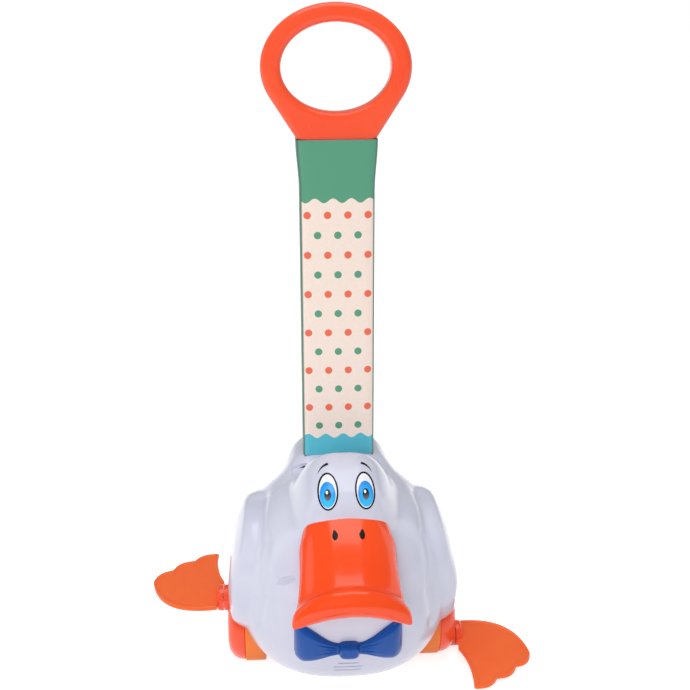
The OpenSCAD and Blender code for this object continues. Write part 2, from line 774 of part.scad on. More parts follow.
// Feet: a flat blade with three toes, on an eye that turns on the pin and hides its head
eye_start = boss_end + side_gap;
eye_end = eye_start + eye_w;
pin_head = 2;
pin_lip = 2.5;
pin_head_r = pin_r + pin_lip;
head_start = eye_end - side_gap - pin_head;
foot_root = [hub_face, 0];
toe_steps = 10;
outer_lip = 14;
inner_lip = 10;
foot_axis = [sin(foot_splay), -cos(foot_splay)];
foot_across = [cos(foot_splay), sin(foot_splay)];
function toe_point(t) =
    foot_root + foot_across * foot_w * (0.5 - t)
    + foot_axis * (foot_len + toe_row_bulge * (1 - pow(2 * t - 1, 2)) + toe_bulge * abs(sin(540 * t)));
// Points of an edge from p to q that bulges to its left, both ends left out.
function edge_points(p, q, bulge) =
    let (n = unit([p.y - q.y, q.x - p.x]))
    [for (i = [1:toe_steps - 1]) let (t = i / toe_steps) p + (q - p) * t + n * bulge * 4 * t * (1 - t)];
module foot() {
    outer = [eye_end, outer_lip];
    inner = [eye_start, -boss_r - inner_lip];
    outline = concat(
        [[eye_start, outer_lip], outer],
        edge_points(outer, toe_point(0), foot_belly),
        [for (i = [0:3 * toe_steps]) toe_point(i / (3 * toe_steps))],
        edge_points(toe_point(1), inner, -foot_waist),
        [inner]);
    at_axle() translate([0, 0, -foot_offset]) difference() {
        union() {
            along_x(eye_start, eye_end, boss_r);
            translate([0, 0, -foot_t / 2]) linear_extrude(foot_t) polygon(outline);
        }
        along_x(eye_start - 1, eye_end, pin_r + run);
        along_x(head_start - side_gap, eye_end + overlap, pin_head_r + side_gap);
    }
}
module foot_pin() {
    at_axle() translate([0, 0, -foot_offset]) {
        along_x(pin_start, head_start + overlap, pin_r);
        along_x(head_start, head_start + pin_head, pin_head_r);
    }
}
module left_foot_pin() { color(steel) placed() foot_pin(); }
module right_foot_pin() { color(steel) placed() opposite() foot_pin(); }
module left_foot() { color(soft_orange) placed() foot(); }
module right_foot() { color(soft_orange) placed() opposite() foot(); }

body_front_shell();
body_rear_shell();
bill();
bow_tie();
shell_screws();
bill_screws();
bow_tie_screw();
left_axle_bush();
right_axle_bush();
click_tongue();
tongue_screw();
heel_glide();
handle_lower_tube();
tube_end_ring();
socket_screws();
guide_pin();
card_sleeve();
grip_front_half();
grip_rear_half();
grip_screws();
axle();
click_wheel();
left_wheel_hub();
right_wheel_hub();
left_tyre();
right_tyre();
left_foot_pin();
right_foot_pin();
left_foot();
right_foot();
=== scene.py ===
"""Looks of the duck push toy: smooth shells, glossy bill, printed sleeve, soft feet and a painted face."""
import json
import logging
import math
from dataclasses import dataclass
from enum import Enum
from typing import Callable, Iterable, Optional, Sequence

import bmesh
import bpy
from mathutils import Matrix, Vector


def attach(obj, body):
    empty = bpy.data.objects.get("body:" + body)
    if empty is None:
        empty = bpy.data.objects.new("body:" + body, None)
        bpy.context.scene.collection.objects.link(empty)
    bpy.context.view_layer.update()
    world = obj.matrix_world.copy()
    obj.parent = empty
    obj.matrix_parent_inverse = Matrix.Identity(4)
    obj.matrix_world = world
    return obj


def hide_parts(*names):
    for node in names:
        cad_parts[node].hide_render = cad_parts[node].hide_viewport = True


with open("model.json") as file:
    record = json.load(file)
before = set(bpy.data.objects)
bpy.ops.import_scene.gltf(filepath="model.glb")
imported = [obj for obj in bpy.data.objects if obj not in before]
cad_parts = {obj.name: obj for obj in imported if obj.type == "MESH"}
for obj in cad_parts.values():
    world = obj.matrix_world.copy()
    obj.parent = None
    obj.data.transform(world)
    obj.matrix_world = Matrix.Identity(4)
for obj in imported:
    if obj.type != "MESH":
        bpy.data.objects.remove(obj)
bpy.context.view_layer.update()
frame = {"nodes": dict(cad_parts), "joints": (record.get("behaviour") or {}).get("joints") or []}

MM = 0.001
AXLE = Vector(next(j for j in frame["joints"] if j["name"] == "axle_spin")["pos_m"]) / MM

# Points nearer than this, in millimetres, are one point.
WELD = 1e-4
# Most of a noise lies between these two values.
NOISE_LOW, NOISE_HIGH = 0.3, 0.7
# A smaller difference between two slopes counts as none.
SLOPE_SLACK = 1e-6
# Halvings that find a place on the skin.
HALVINGS = 40
# Edges that turn by more than this stay sharp, on mouldings and on prints.
SHARP_DEG = 38.0
PRINT_SHARP_DEG = 90.0
BLOCK_ROUND_STEPS = 5

log = logging.getLogger("duck_push_toy")


class Body(Enum):
    """Rigid bodies that a piece can ride on."""

    DUCK = "duck_body"
    HANDLE = "handle_upper"
    WHEELS = "wheel_set"
    LEFT_FOOT = "left_foot"
    RIGHT_FOOT = "right_foot"


class Slot(Enum):
    """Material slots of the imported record."""

    BODY = "body_white"
    ORANGE = "bill_orange"
    FOOT = "foot_orange"
    TYRE = "tyre_amber"
    BOW = "bow_blue"
    CARD = "card_print"
    BEARING = "bearing_cream"
    STEEL = "steel"


class Side(Enum):
    """The duck's own sides; left is +X."""

    LEFT = 1
    RIGHT = -1

    @property
    def word(self) -> str:
        """Gives the side as piece names say it."""
        return self.name.lower()


class Half(Enum):
    """Halves of a moulding; the front is -Y."""

    FRONT = -1
    REAR = 1

    @property
    def word(self) -> str:
        """Gives the half as piece names say it."""
        return self.name.lower()

    @property
    def way(self) -> Vector:
        """Gives the direction from the parting plane into the half."""
        return Vector((0.0, self.value, 0.0))


class Joining(Enum):
    """Ways to put closed meshes together."""

    CUT = "DIFFERENCE"
    ADD = "UNION"


def linear(code: int) -> tuple[float, float, float, float]:
    """Turns a display colour into a shader colour.

    Args:
        code: Colour as 0xRRGGBB.

    Returns:
        Linear red, green and blue with full alpha.
    """
    parts = [((code >> shift) & 255) / 255 for shift in (16, 8, 0)]
    red, green, blue = [p / 12.92 if p <= 0.04045 else ((p + 0.055) / 1.055) ** 2.4 for p in parts]
    return red, green, blue, 1.0


def ramp(t: float) -> float:
    """Eases from 0 to 1 as t goes from 0 to 1."""
    t = min(1.0, max(0.0, t))
    return t * t * (3 - 2 * t)


def signed_power(value: float, power: float) -> float:
    """Raises a value to a power and keeps its sign."""
    return math.copysign(abs(value) ** power, value)


def rounded_reach(shares: Iterable[float], fullness: float) -> float:
    """Gives the reach of a rounded form from the shares that a direction takes of its extents."""
    return sum(abs(share) ** fullness for share in shares) ** (-1 / fullness)


class Graph:
    """A material's node graph, built from short calls."""

    def __init__(self, name: str) -> None:
        """Makes a material with a bare surface shader.

        Args:
            name: Name of the material.
        """
        self.material = bpy.data.materials.new(name)
        self.material.use_nodes = True
        self.tree = self.material.node_tree
        self.shader = self.tree.nodes["Principled BSDF"]

    def add(self, kind: str, inputs: Optional[dict] = None, **settings: object) -> bpy.types.Node:
        """Adds one node.

        Args:
            kind: Node type without its ShaderNode prefix.
            inputs: Socket names or numbers with a value or a socket to link.
            settings: Attributes of the node itself.

        Returns:
            The new node.
        """
        node = self.tree.nodes.new("ShaderNode" + kind)
        for key, value in settings.items():
            setattr(node, key, value)
        self.feed(node, inputs or {})
        return node

    def feed(self, node: bpy.types.Node, inputs: dict) -> None:
        """Sets or links a node's inputs.

        Args:
            node: The node.
            inputs: Socket names or numbers with a value or a socket to link.
        """
        for key, value in inputs.items():
            if isinstance(value, bpy.types.NodeSocket):
                self.tree.links.new(value, node.inputs[key])
            else:
                node.inputs[key].default_value = value

    def shade(self, inputs: dict) -> None:
        """Sets or links inputs of the surface shader."""
        self.feed(self.shader, inputs)

    def place(self) -> bpy.types.NodeSocket:
        """Gives the place on the object, in metres."""
        return self.add("TexCoord").outputs["Object"]

    def attribute(self, name: str) -> bpy.types.NodeSocket:
        """Gives a vector stored on the mesh."""
        return self.add("Attribute", attribute_name=name).outputs["Vector"]

    def noise(self, place: bpy.types.NodeSocket, size_mm: float, detail: float = 2.0) -> bpy.types.NodeSocket:
        """Gives noise with features of a given size on object coordinates."""
        inputs = {"Vector": place, "Scale": 1 / (size_mm * MM), "Detail": detail}
        return self.add("TexNoise", inputs).outputs[0]

    def ramp(self, value: bpy.types.NodeSocket, *stops: tuple[float, int]) -> bpy.types.NodeSocket:
        """Turns a value into a colour.

        Args:
            value: Value between 0 and 1.
            stops: Pairs of a position and a display colour.

        Returns:
            The colour socket.
        """
        node = self.add("ValToRGB", {"Fac": value})
        elements = node.color_ramp.elements
        while len(elements) < len(stops):
            elements.new(0.5)
        for element, (position, code) in zip(elements, stops):
            element.position = position
            element.color = linear(code)
        return node.outputs["Color"]

    def drift(self, noise: bpy.types.NodeSocket, first: int, second: int) -> bpy.types.NodeSocket:
        """Gives a colour that drifts between two display colours with a noise."""
        return self.ramp(noise, (NOISE_LOW, first), (NOISE_HIGH, second))

    def spread(self, noise: bpy.types.NodeSocket, low: float, high: float) -> bpy.types.NodeSocket:
        """Maps the middle of a noise to a range."""
        span = {"From Min": NOISE_LOW, "From Max": NOISE_HIGH, "To Min": low, "To Max": high}
        return self.add("MapRange", {"Value": noise, **span}).outputs[0]

    def bump(self, height: bpy.types.NodeSocket, depth_mm: float, strength: float) -> bpy.types.NodeSocket:
        """Gives a surface normal bumped by a height."""
        inputs = {"Height": height, "Distance": depth_mm * MM, "Strength": strength}
        return self.add("Bump", inputs).outputs["Normal"]

    def math(self, operation: str, first: object, second: object = 0.0) -> bpy.types.NodeSocket:
        """Gives the result of one arithmetic step."""
        return self.add("Math", {0: first, 1: second}, operation=operation).outputs[0]

    def mix(self, share: object, first: object, second: object) -> bpy.types.NodeSocket:
        """Gives first where share is 0 and second where it is 1."""
        node = self.add("Mix", data_type="RGBA")
        self.feed(node, {0: share, 6: first, 7: second})
        return node.outputs[2]


@dataclass(frozen=True)
class Finish:
    """Base of every surface finish."""

    name: str
    slot: Slot
    color: int

    def material(self) -> bpy.types.Material:
        """Gives the finish's material, made once.

        Returns:
            The material.
        """
        found = bpy.data.materials.get(self.name)
        if found is not None:
            return found
        graph = Graph(self.name)
        self.wire(graph)
        return graph.material

    def wire(self, graph: Graph) -> None:
        """Builds the node graph."""
        raise NotImplementedError


@dataclass(frozen=True)
class MouldedPlastic(Finish):
    """Injection moulded plastic with a faint cloudiness and orange peel."""

    deep: int = 0x000000
    roughness: float = 0.22
    wear: tuple[float, float] = (0.8, 1.25)
    coat: float = 0.3
    coat_roughness: float = 0.06
    shine: float = 0.5
    glow: float = 0.0
    glow_reach: tuple[float, float, float] = (0.004, 0.003, 0.002)
    cloud_mm: float = 45.0
    handled_mm: float = 9.0
    peel_mm: float = 2.5
    peel_deep_mm: float = 0.1
    peel: float = 0.05

    def wire(self, graph: Graph) -> None:
        """Builds the node graph.

        Args:
            graph: The material's graph.
        """
        place = graph.place()
        cloud = graph.noise(place, self.cloud_mm)
        handled = graph.noise(place, self.handled_mm, detail=4.0)
        peel = graph.noise(place, self.peel_mm, detail=1.0)
        graph.shade({
            "Base Color": graph.drift(cloud, self.deep, self.color),
            "Roughness": graph.spread(handled, *(self.roughness * share for share in self.wear)),
            "Normal": graph.bump(peel, self.peel_deep_mm, self.peel),
            "Coat Weight": self.coat,
            "Coat Roughness": self.coat_roughness,
            "Specular IOR Level": self.shine,
            "Subsurface Weight": self.glow,
            "Subsurface Radius": self.glow_reach,
            "Subsurface Scale": 1.0,
        })


@dataclass(frozen=True)
class SoftPlastic(Finish):
    """Soft matte plastic with a fine grain and a faint sheen."""

    deep: int = 0x000000
    roughness: float = 0.5
    wear: tuple[float, float] = (0.85, 1.15)
    cloud_mm: float = 14.0
    cloud_stops: tuple[float, float] = (0.25, 0.75)
    grain_mm: float = 0.7
    grain_deep_mm: float = 0.1
    grain: float = 0.2
    glow: float = 0.12
    glow_reach: tuple[float, float, float] = (0.003, 0.0012, 0.0006)
    sheen: float = 0.06
    sheen_roughness: float = 0.4

    def wire(self, graph: Graph) -> None:
        """Builds the node graph.

        Args:
            graph: The material's graph.
        """
        place = graph.place()
        cloud = graph.noise(place, self.cloud_mm, detail=3.0)
        grain = graph.noise(place, self.grain_mm)
        graph.shade({
            "Base Color": graph.ramp(cloud, *zip(self.cloud_stops, (self.deep, self.color))),
            "Roughness": graph.spread(grain, *(self.roughness * share for share in self.wear)),
            "Normal": graph.bump(grain, self.grain_deep_mm, self.grain),
            "Subsurface Weight": self.glow,
            "Subsurface Radius": self.glow_reach,
            "Subsurface Scale": 1.0,
            "Sheen Weight": self.sheen,
            "Sheen Roughness": self.sheen_roughness,
        })


@dataclass(frozen=True)
class Ink(Finish):
    """Printed ink, a little uneven."""

    deep: int = 0x000000
    roughness: float = 0.28
    wear: tuple[float, float] = (0.8, 1.2)
    cloud_mm: float = 2.0
    shine: float = 0.2

    def wire(self, graph: Graph) -> None:
        """Builds the node graph.

        Args:
            graph: The material's graph.
        """
        cloud = graph.noise(graph.place(), self.cloud_mm, detail=3.0)
        graph.shade({
            "Base Color": graph.drift(cloud, self.deep, self.color),
            "Roughness": graph.spread(cloud, *(self.roughness * share for share in self.wear)),
            "Specular IOR Level": self.shine,
        })


@dataclass(frozen=True)
class RadialInk(Finish):
    """Printed ink that changes from the middle of a disc to its rim, and from its foot to its top."""

    rim: int = 0x000000
    low: int = 0x000000
    streaks: float = 0.15
    streak_mm: float = 1.2
    middle_at: float = 0.55
    rim_at: float = 0.98
    foot_at: float = -0.9
    top_at: float = 0.2
    roughness: float = 0.25
    coat: float = 0.3

    def wire(self, graph: Graph) -> None:
        """Builds the node graph.

        Args:
            graph: The material's graph.
        """
        disc = graph.attribute("disc_place")
        height = graph.add("SeparateXYZ", {0: disc}).outputs["Y"]
        radius = graph.add("VectorMath", {0: disc}, operation="LENGTH").outputs["Value"]
        streak = graph.noise(graph.place(), self.streak_mm, detail=3.0)
        streak = graph.math("SUBTRACT", streak, 0.5)
        reach = graph.math("ADD", radius, graph.math("MULTIPLY", streak, self.streaks))
        tone = graph.ramp(reach, (self.middle_at, self.color), (self.rim_at, self.rim))
        fall = graph.add("MapRange", {"Value": height, "From Min": self.foot_at, "From Max": self.top_at,
                                      "To Min": 1.0, "To Max": 0.0}).outputs[0]
        graph.shade({
            "Base Color": graph.mix(fall, tone, linear(self.low)),
            "Roughness": self.roughness,
            "Coat Weight": self.coat,
        })


@dataclass(frozen=True)
class PrintedCard(Finish):
    """Printed card: a banded top, spots on a pale field and waves at the foot."""

    fibre: int = 0x000000
    band: int = 0x000000
    edge: int = 0x000000
    spot: int = 0x000000
    wave: int = 0x000000
    length_mm: float = 226.0
    band_mm: float = 41.0
    pitch_mm: float = 14.0
    spot_mm: float = 2.6
    wave_mm: float = 13.0
    wave_half_mm: float = 1.6
    wave_turn_per_mm: float = 0.5
    columns_spare: float = 20.0
    fibre_mm: float = 1.6
    fibre_deep_mm: float = 0.05
    fibre_bump: float = 0.15
    roughness: tuple[float, float] = (0.38, 0.5)
    coat: float = 0.15
    coat_roughness: float = 0.2

    def spots(self, graph: Graph, across: bpy.types.NodeSocket,
              along: bpy.types.NodeSocket) -> tuple[bpy.types.NodeSocket, bpy.types.NodeSocket]:
        """Lays out rows of spots, each row shifted by half a pitch from the last.

        Args:
            graph: The material's graph.
            across: Place across the card.
            along: Place up the card.

        Returns:
            Where a spot is, and the colour that it has there.
        """
        rows = graph.math("DIVIDE", along, self.pitch_mm)
        odd = graph.math("MODULO", graph.math("FLOOR", rows), 2.0)
        columns = graph.math("MULTIPLY", across, 1 / self.pitch_mm)
        shifted = graph.math("ADD", columns, graph.math("MULTIPLY", odd, 0.5))
        shifted = graph.math("ADD", shifted, self.columns_spare)
        offs = [graph.math("SUBTRACT", graph.math("FRACT", count), 0.5) for count in (shifted, rows)]
        squares = [graph.math("MULTIPLY", off, off) for off in offs]
        gap = graph.math("SQRT", graph.math("ADD", *squares))
        inside = graph.math("LESS_THAN", gap, self.spot_mm / self.pitch_mm)
        return inside, graph.mix(odd, linear(self.spot), linear(self.band))

    def wire(self, graph: Graph) -> None:
        """Builds the node graph.

        Args:
            graph: The material's graph.
        """
        parts = graph.add("SeparateXYZ", {0: graph.attribute("print_place")})
        across, along, panel = (parts.outputs[axis] for axis in "XYZ")
        fibres = graph.noise(graph.place(), self.fibre_mm, detail=4.0)
        paper = graph.drift(fibres, self.fibre, self.color)
        inside, spots = self.spots(graph, across, along)
        turn = graph.math("MULTIPLY", across, self.wave_turn_per_mm)
        swell = graph.math("MULTIPLY", graph.math("SINE", turn), self.wave_half_mm)
        surface = graph.math("ADD", swell, self.wave_mm)
        hem = graph.math("SUBTRACT", self.length_mm - self.band_mm, swell)
        field = graph.mix(inside, paper, spots)
        field = graph.mix(graph.math("LESS_THAN", along, surface), field, linear(self.wave))
        field = graph.mix(graph.math("GREATER_THAN", along, hem), field, linear(self.band))
        graph.shade({
            "Base Color": graph.mix(panel, field, linear(self.edge)),
            "Roughness": graph.spread(fibres, *self.roughness),
            "Normal": graph.bump(fibres, self.fibre_deep_mm, self.fibre_bump),
            "Coat Weight": self.coat,
            "Coat Roughness": self.coat_roughness,
        })


@dataclass(frozen=True)
class Steel(Finish):
    """Plated steel with fine brushing."""

    deep: int = 0x8E9094
    roughness: tuple[float, float] = (0.25, 0.4)
    brush_mm: float = 0.4
    brush_deep_mm: float = 0.03
    brush: float = 0.2

    def wire(self, graph: Graph) -> None:
        """Builds the node graph.

        Args:
            graph: The material's graph.
        """
        brushed = graph.noise(graph.place(), self.brush_mm, detail=3.0)
        graph.shade({
            "Base Color": graph.drift(brushed, self.deep, self.color),
            "Metallic": 1.0,
            "Roughness": graph.spread(brushed, *self.roughness),
            "Normal": graph.bump(brushed, self.brush_deep_mm, self.brush),
        })


WHITE = MouldedPlastic("white_shell_plastic", Slot.BODY, 0xD5D7E7, deep=0xCFD1E4, roughness=0.2, coat=0.2,
                       shine=0.42, glow=0.05)
BILL_ORANGE = MouldedPlastic("bill_plastic", Slot.ORANGE, 0xFE5016, deep=0xFC4A10, roughness=0.18, coat=0.35,
                             shine=0.3)
GRIP_ORANGE = MouldedPlastic("grip_plastic", Slot.ORANGE, 0xFF582E, deep=0xFE522A, roughness=0.22, coat=0.2,
                             shine=0.35)
BOW_BLUE = MouldedPlastic("bow_plastic", Slot.BOW, 0x0651A8, deep=0x044BA0, roughness=0.18, coat=0.2,
                          shine=0.22)
BEARING = MouldedPlastic("bearing_plastic", Slot.BEARING, 0xE8DFCC, deep=0xDFD4BD, roughness=0.4, coat=0.0)
TYRE_AMBER = SoftPlastic("tyre_rubber", Slot.TYRE, 0xFF8B3C, deep=0xFF8334, roughness=0.6)
FOOT_ORANGE = SoftPlastic("foot_soft_plastic", Slot.FOOT, 0xFF6D28, deep=0xFC6722, roughness=0.42)
CARD = PrintedCard("sleeve_card", Slot.CARD, 0xFAE8DC, fibre=0xF6E2D6, band=0x529A7B, edge=0x2B664D,
                   spot=0xEE6A4B, wave=0x55BFD2)
STEEL = Steel("plated_steel", Slot.STEEL, 0xC3C5C9)
BLACK_INK = Ink("black_ink", Slot.BODY, 0x101014, deep=0x18181C)
WHITE_INK = Ink("white_ink", Slot.BODY, 0xF6F6FB, deep=0xF0F0F8)
IRIS_INK = RadialInk("iris_ink", Slot.BODY, 0x1EAEFF, rim=0x1488EC, low=0x38C6FF)
PUPIL_INK = RadialInk("pupil_ink", Slot.BODY, 0x16161A, rim=0x16161A, low=0x77777B)
NOSTRIL = Ink("nostril_shade", Slot.ORANGE, 0x16100E, deep=0x0E0A09)


def settle(bm: bmesh.types.BMesh, name: str, finish: Finish, body: Body,
           replaced: Iterable[str] = (), sharp_deg: float = SHARP_DEG) -> None:
    """Turns a mesh in millimetres into a dressed piece that rides on a body.

    Args:
        bm: The mesh, which is used up.
        name: Name of the piece.
        finish: Its surface.
        body: The body that it moves with.
        replaced: Nodes that it stands for.
        sharp_deg: Angle past which an edge stays sharp.
    """
    limit = math.radians(sharp_deg)
    for edge in bm.edges:
        edge.smooth = edge.calc_face_angle(0.0) < limit
    for face in bm.faces:
        face.smooth = True
    bmesh.ops.scale(bm, vec=(MM, MM, MM), verts=bm.verts)
    mesh = bpy.data.meshes.new(name)
    bm.to_mesh(mesh)
    bm.free()
    mesh.materials.append(finish.material())
    piece = bpy.data.objects.new(name, mesh)
    bpy.context.scene.collection.objects.link(piece)
    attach(piece, body.value)
    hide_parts(*replaced)
    log.info("%s: %d faces on %s", name, len(mesh.polygons), body.value)


def shown(bm: bmesh.types.BMesh, name: str) -> bpy.types.Object:
    """Puts a closed mesh in the scene for a moment.

    Args:
        bm: The mesh, which is used up.
        name: Name of the object.

    Returns:
        The object.
    """
    bmesh.ops.recalc_face_normals(bm, faces=bm.faces)
    mesh = bpy.data.meshes.new(name)
    bm.to_mesh(mesh)
    bm.free()
    made = bpy.data.objects.new(name, mesh)
    bpy.context.scene.collection.objects.link(made)
    return made


def trimmed(bm: bmesh.types.BMesh, tools: Sequence[bmesh.types.BMesh],
            joining: Joining = Joining.CUT) -> bmesh.types.BMesh:
    """Cuts closed meshes out of a closed mesh, or joins them to it.

    Args:
        bm: The mesh to work on, which is used up.
        tools: Closed meshes, which are used up.
        joining: Whether the tools are cut out or added.

    Returns:
        The new mesh.
    """
    work = shown(bm, "work")
    cutters = [shown(tool, "tool") for tool in tools]
    for cutter in cutters:
        step = work.modifiers.new("trim", "BOOLEAN")
        step.operation = joining.value
        step.solver = "EXACT"
        step.object = cutter
    graph = bpy.context.evaluated_depsgraph_get()
    result = bmesh.new()
    result.from_mesh(work.evaluated_get(graph).to_mesh())
    for used in [work, *cutters]:
        mesh = used.data
        bpy.data.objects.remove(used)
        bpy.data.meshes.remove(mesh)
    return result


def open_edges(bm: bmesh.types.BMesh) -> list[bmesh.types.BMEdge]:
    """Gives the edges round the openings of a mesh."""
    return [edge for edge in bm.edges if edge.is_boundary]


def close(bm: bmesh.types.BMesh) -> bmesh.types.BMesh:
    """Fills the openings of a mesh."""
    bmesh.ops.holes_fill(bm, edges=open_edges(bm), sides=0)
    return bm


def weld(bm: bmesh.types.BMesh) -> bmesh.types.BMesh:
    """Merges doubled points and turns the faces outwards.

    Args:
        bm: The mesh.

    Returns:
        The same mesh.
    """
    bmesh.ops.remove_doubles(bm, verts=bm.verts, dist=WELD)
    bmesh.ops.recalc_face_normals(bm, faces=bm.faces)
    return bm


def clear_behind(bm: bmesh.types.BMesh, point: Vector, way: Vector) -> None:
    """Cuts away what lies behind a plane through a point."""
    bmesh.ops.bisect_plane(bm, geom=bm.verts[:] + bm.edges[:] + bm.faces[:], dist=WELD,
                           plane_co=point, plane_no=way, clear_inner=True)


def round_edges(bm: bmesh.types.BMesh, edges: Sequence[bmesh.types.BMEdge], radius: float,
                steps: int) -> None:
    """Rounds edges of a mesh."""
    bmesh.ops.bevel(bm, geom=edges, offset=radius, segments=steps, profile=0.5, affect="EDGES", material=-1)


def cylinder(start: Vector, end: Vector, radius: float, sides: int = 64) -> bmesh.types.BMesh:
    """Gives a closed cylinder between two points.

    Args:
        start: Middle of one end.
        end: Middle of the other end.
        radius: Radius.
        sides: Faces round it.

    Returns:
        The closed cylinder.
    """
    bm = bmesh.new()
    axis = end - start
    where = Matrix.Translation((start + end) / 2) @ axis.to_track_quat("Z", "Y").to_matrix().to_4x4()
    bmesh.ops.create_cone(bm, cap_ends=True, segments=sides, radius1=radius, radius2=radius,
                          depth=axis.length, matrix=where)
    return bm


def block(low: Vector, high: Vector, where: Matrix = Matrix.Identity(4),
          round_mm: float = 0.0) -> bmesh.types.BMesh:
    """Gives a closed block between two corners.

    Args:
        low: Lowest corner.
        high: Highest corner.
        where: Place of the block.
        round_mm: Radius of its edges, or 0 for sharp ones.

    Returns:
        The closed block.
    """
    bm = bmesh.new()
    size = Matrix.Diagonal((*(high - low), 1.0))
    bmesh.ops.create_cube(bm, size=1.0, matrix=Matrix.Translation((low + high) / 2) @ size)
    if round_mm > 0:
        round_edges(bm, bm.edges[:], round_mm, BLOCK_ROUND_STEPS)
    bmesh.ops.transform(bm, matrix=where, verts=bm.verts)
    return bm


def mapped_grid(columns: int, rows: int, place: Callable[[float, float], Vector]) -> bmesh.types.BMesh:
    """Gives a sheet of squares laid where a function says.

    Args:
        columns: Squares across.
        rows: Squares up.
        place: Gives a point from shares across and up, each from 0 to 1.

    Returns:
        The sheet.
    """
    bm = bmesh.new()
    bmesh.ops.create_grid(bm, x_segments=columns, y_segments=rows, size=1.0)
    for vert in bm.verts:
        vert.co = place((vert.co.x + 1) / 2, (vert.co.y + 1) / 2)
    return bm


def closed_tube(sides: int, rows: int, place: Callable[[float, float], Vector]) -> bmesh.types.BMesh:
    """Gives a closed form made of rings.

    Args:
        sides: Squares round a ring.
        rows: Squares from end to end.
        place: Gives a point from a turn and a share of the length, each from 0 to 1.

    Returns:
        The closed form.
    """
    return weld(close(weld(mapped_grid(sides, rows, place))))


def cube_sphere(cells: int) -> bmesh.types.BMesh:
    """Gives a unit ball of even squares.

    Args:
        cells: Squares along each edge of the starting cube.

    Returns:
        The ball.
    """
    bm = bmesh.new()
    bmesh.ops.create_cube(bm, size=2.0)
    bmesh.ops.subdivide_edges(bm, edges=bm.edges[:], cuts=cells - 1, use_grid_fill=True)
    for vert in bm.verts:
        vert.co = Vector([math.tan(c * math.pi / 4) for c in vert.co]).normalized()
    return bm


def unit_disc(sides: int, rings: int) -> bmesh.types.BMesh:
    """Gives a flat disc of radius 1 with rings of points.

    Args:
        sides: Points round the rim.
        rings: Rings between the middle and the rim.

    Returns:
        The disc.
    """
    bm = bmesh.new()
    bmesh.ops.create_circle(bm, cap_ends=True, cap_tris=True, segments=sides, radius=1.0)
    spokes = [edge for edge in bm.edges if not edge.is_boundary]
    bmesh.ops.subdivide_edges(bm, edges=spokes, cuts=rings)
    return bm


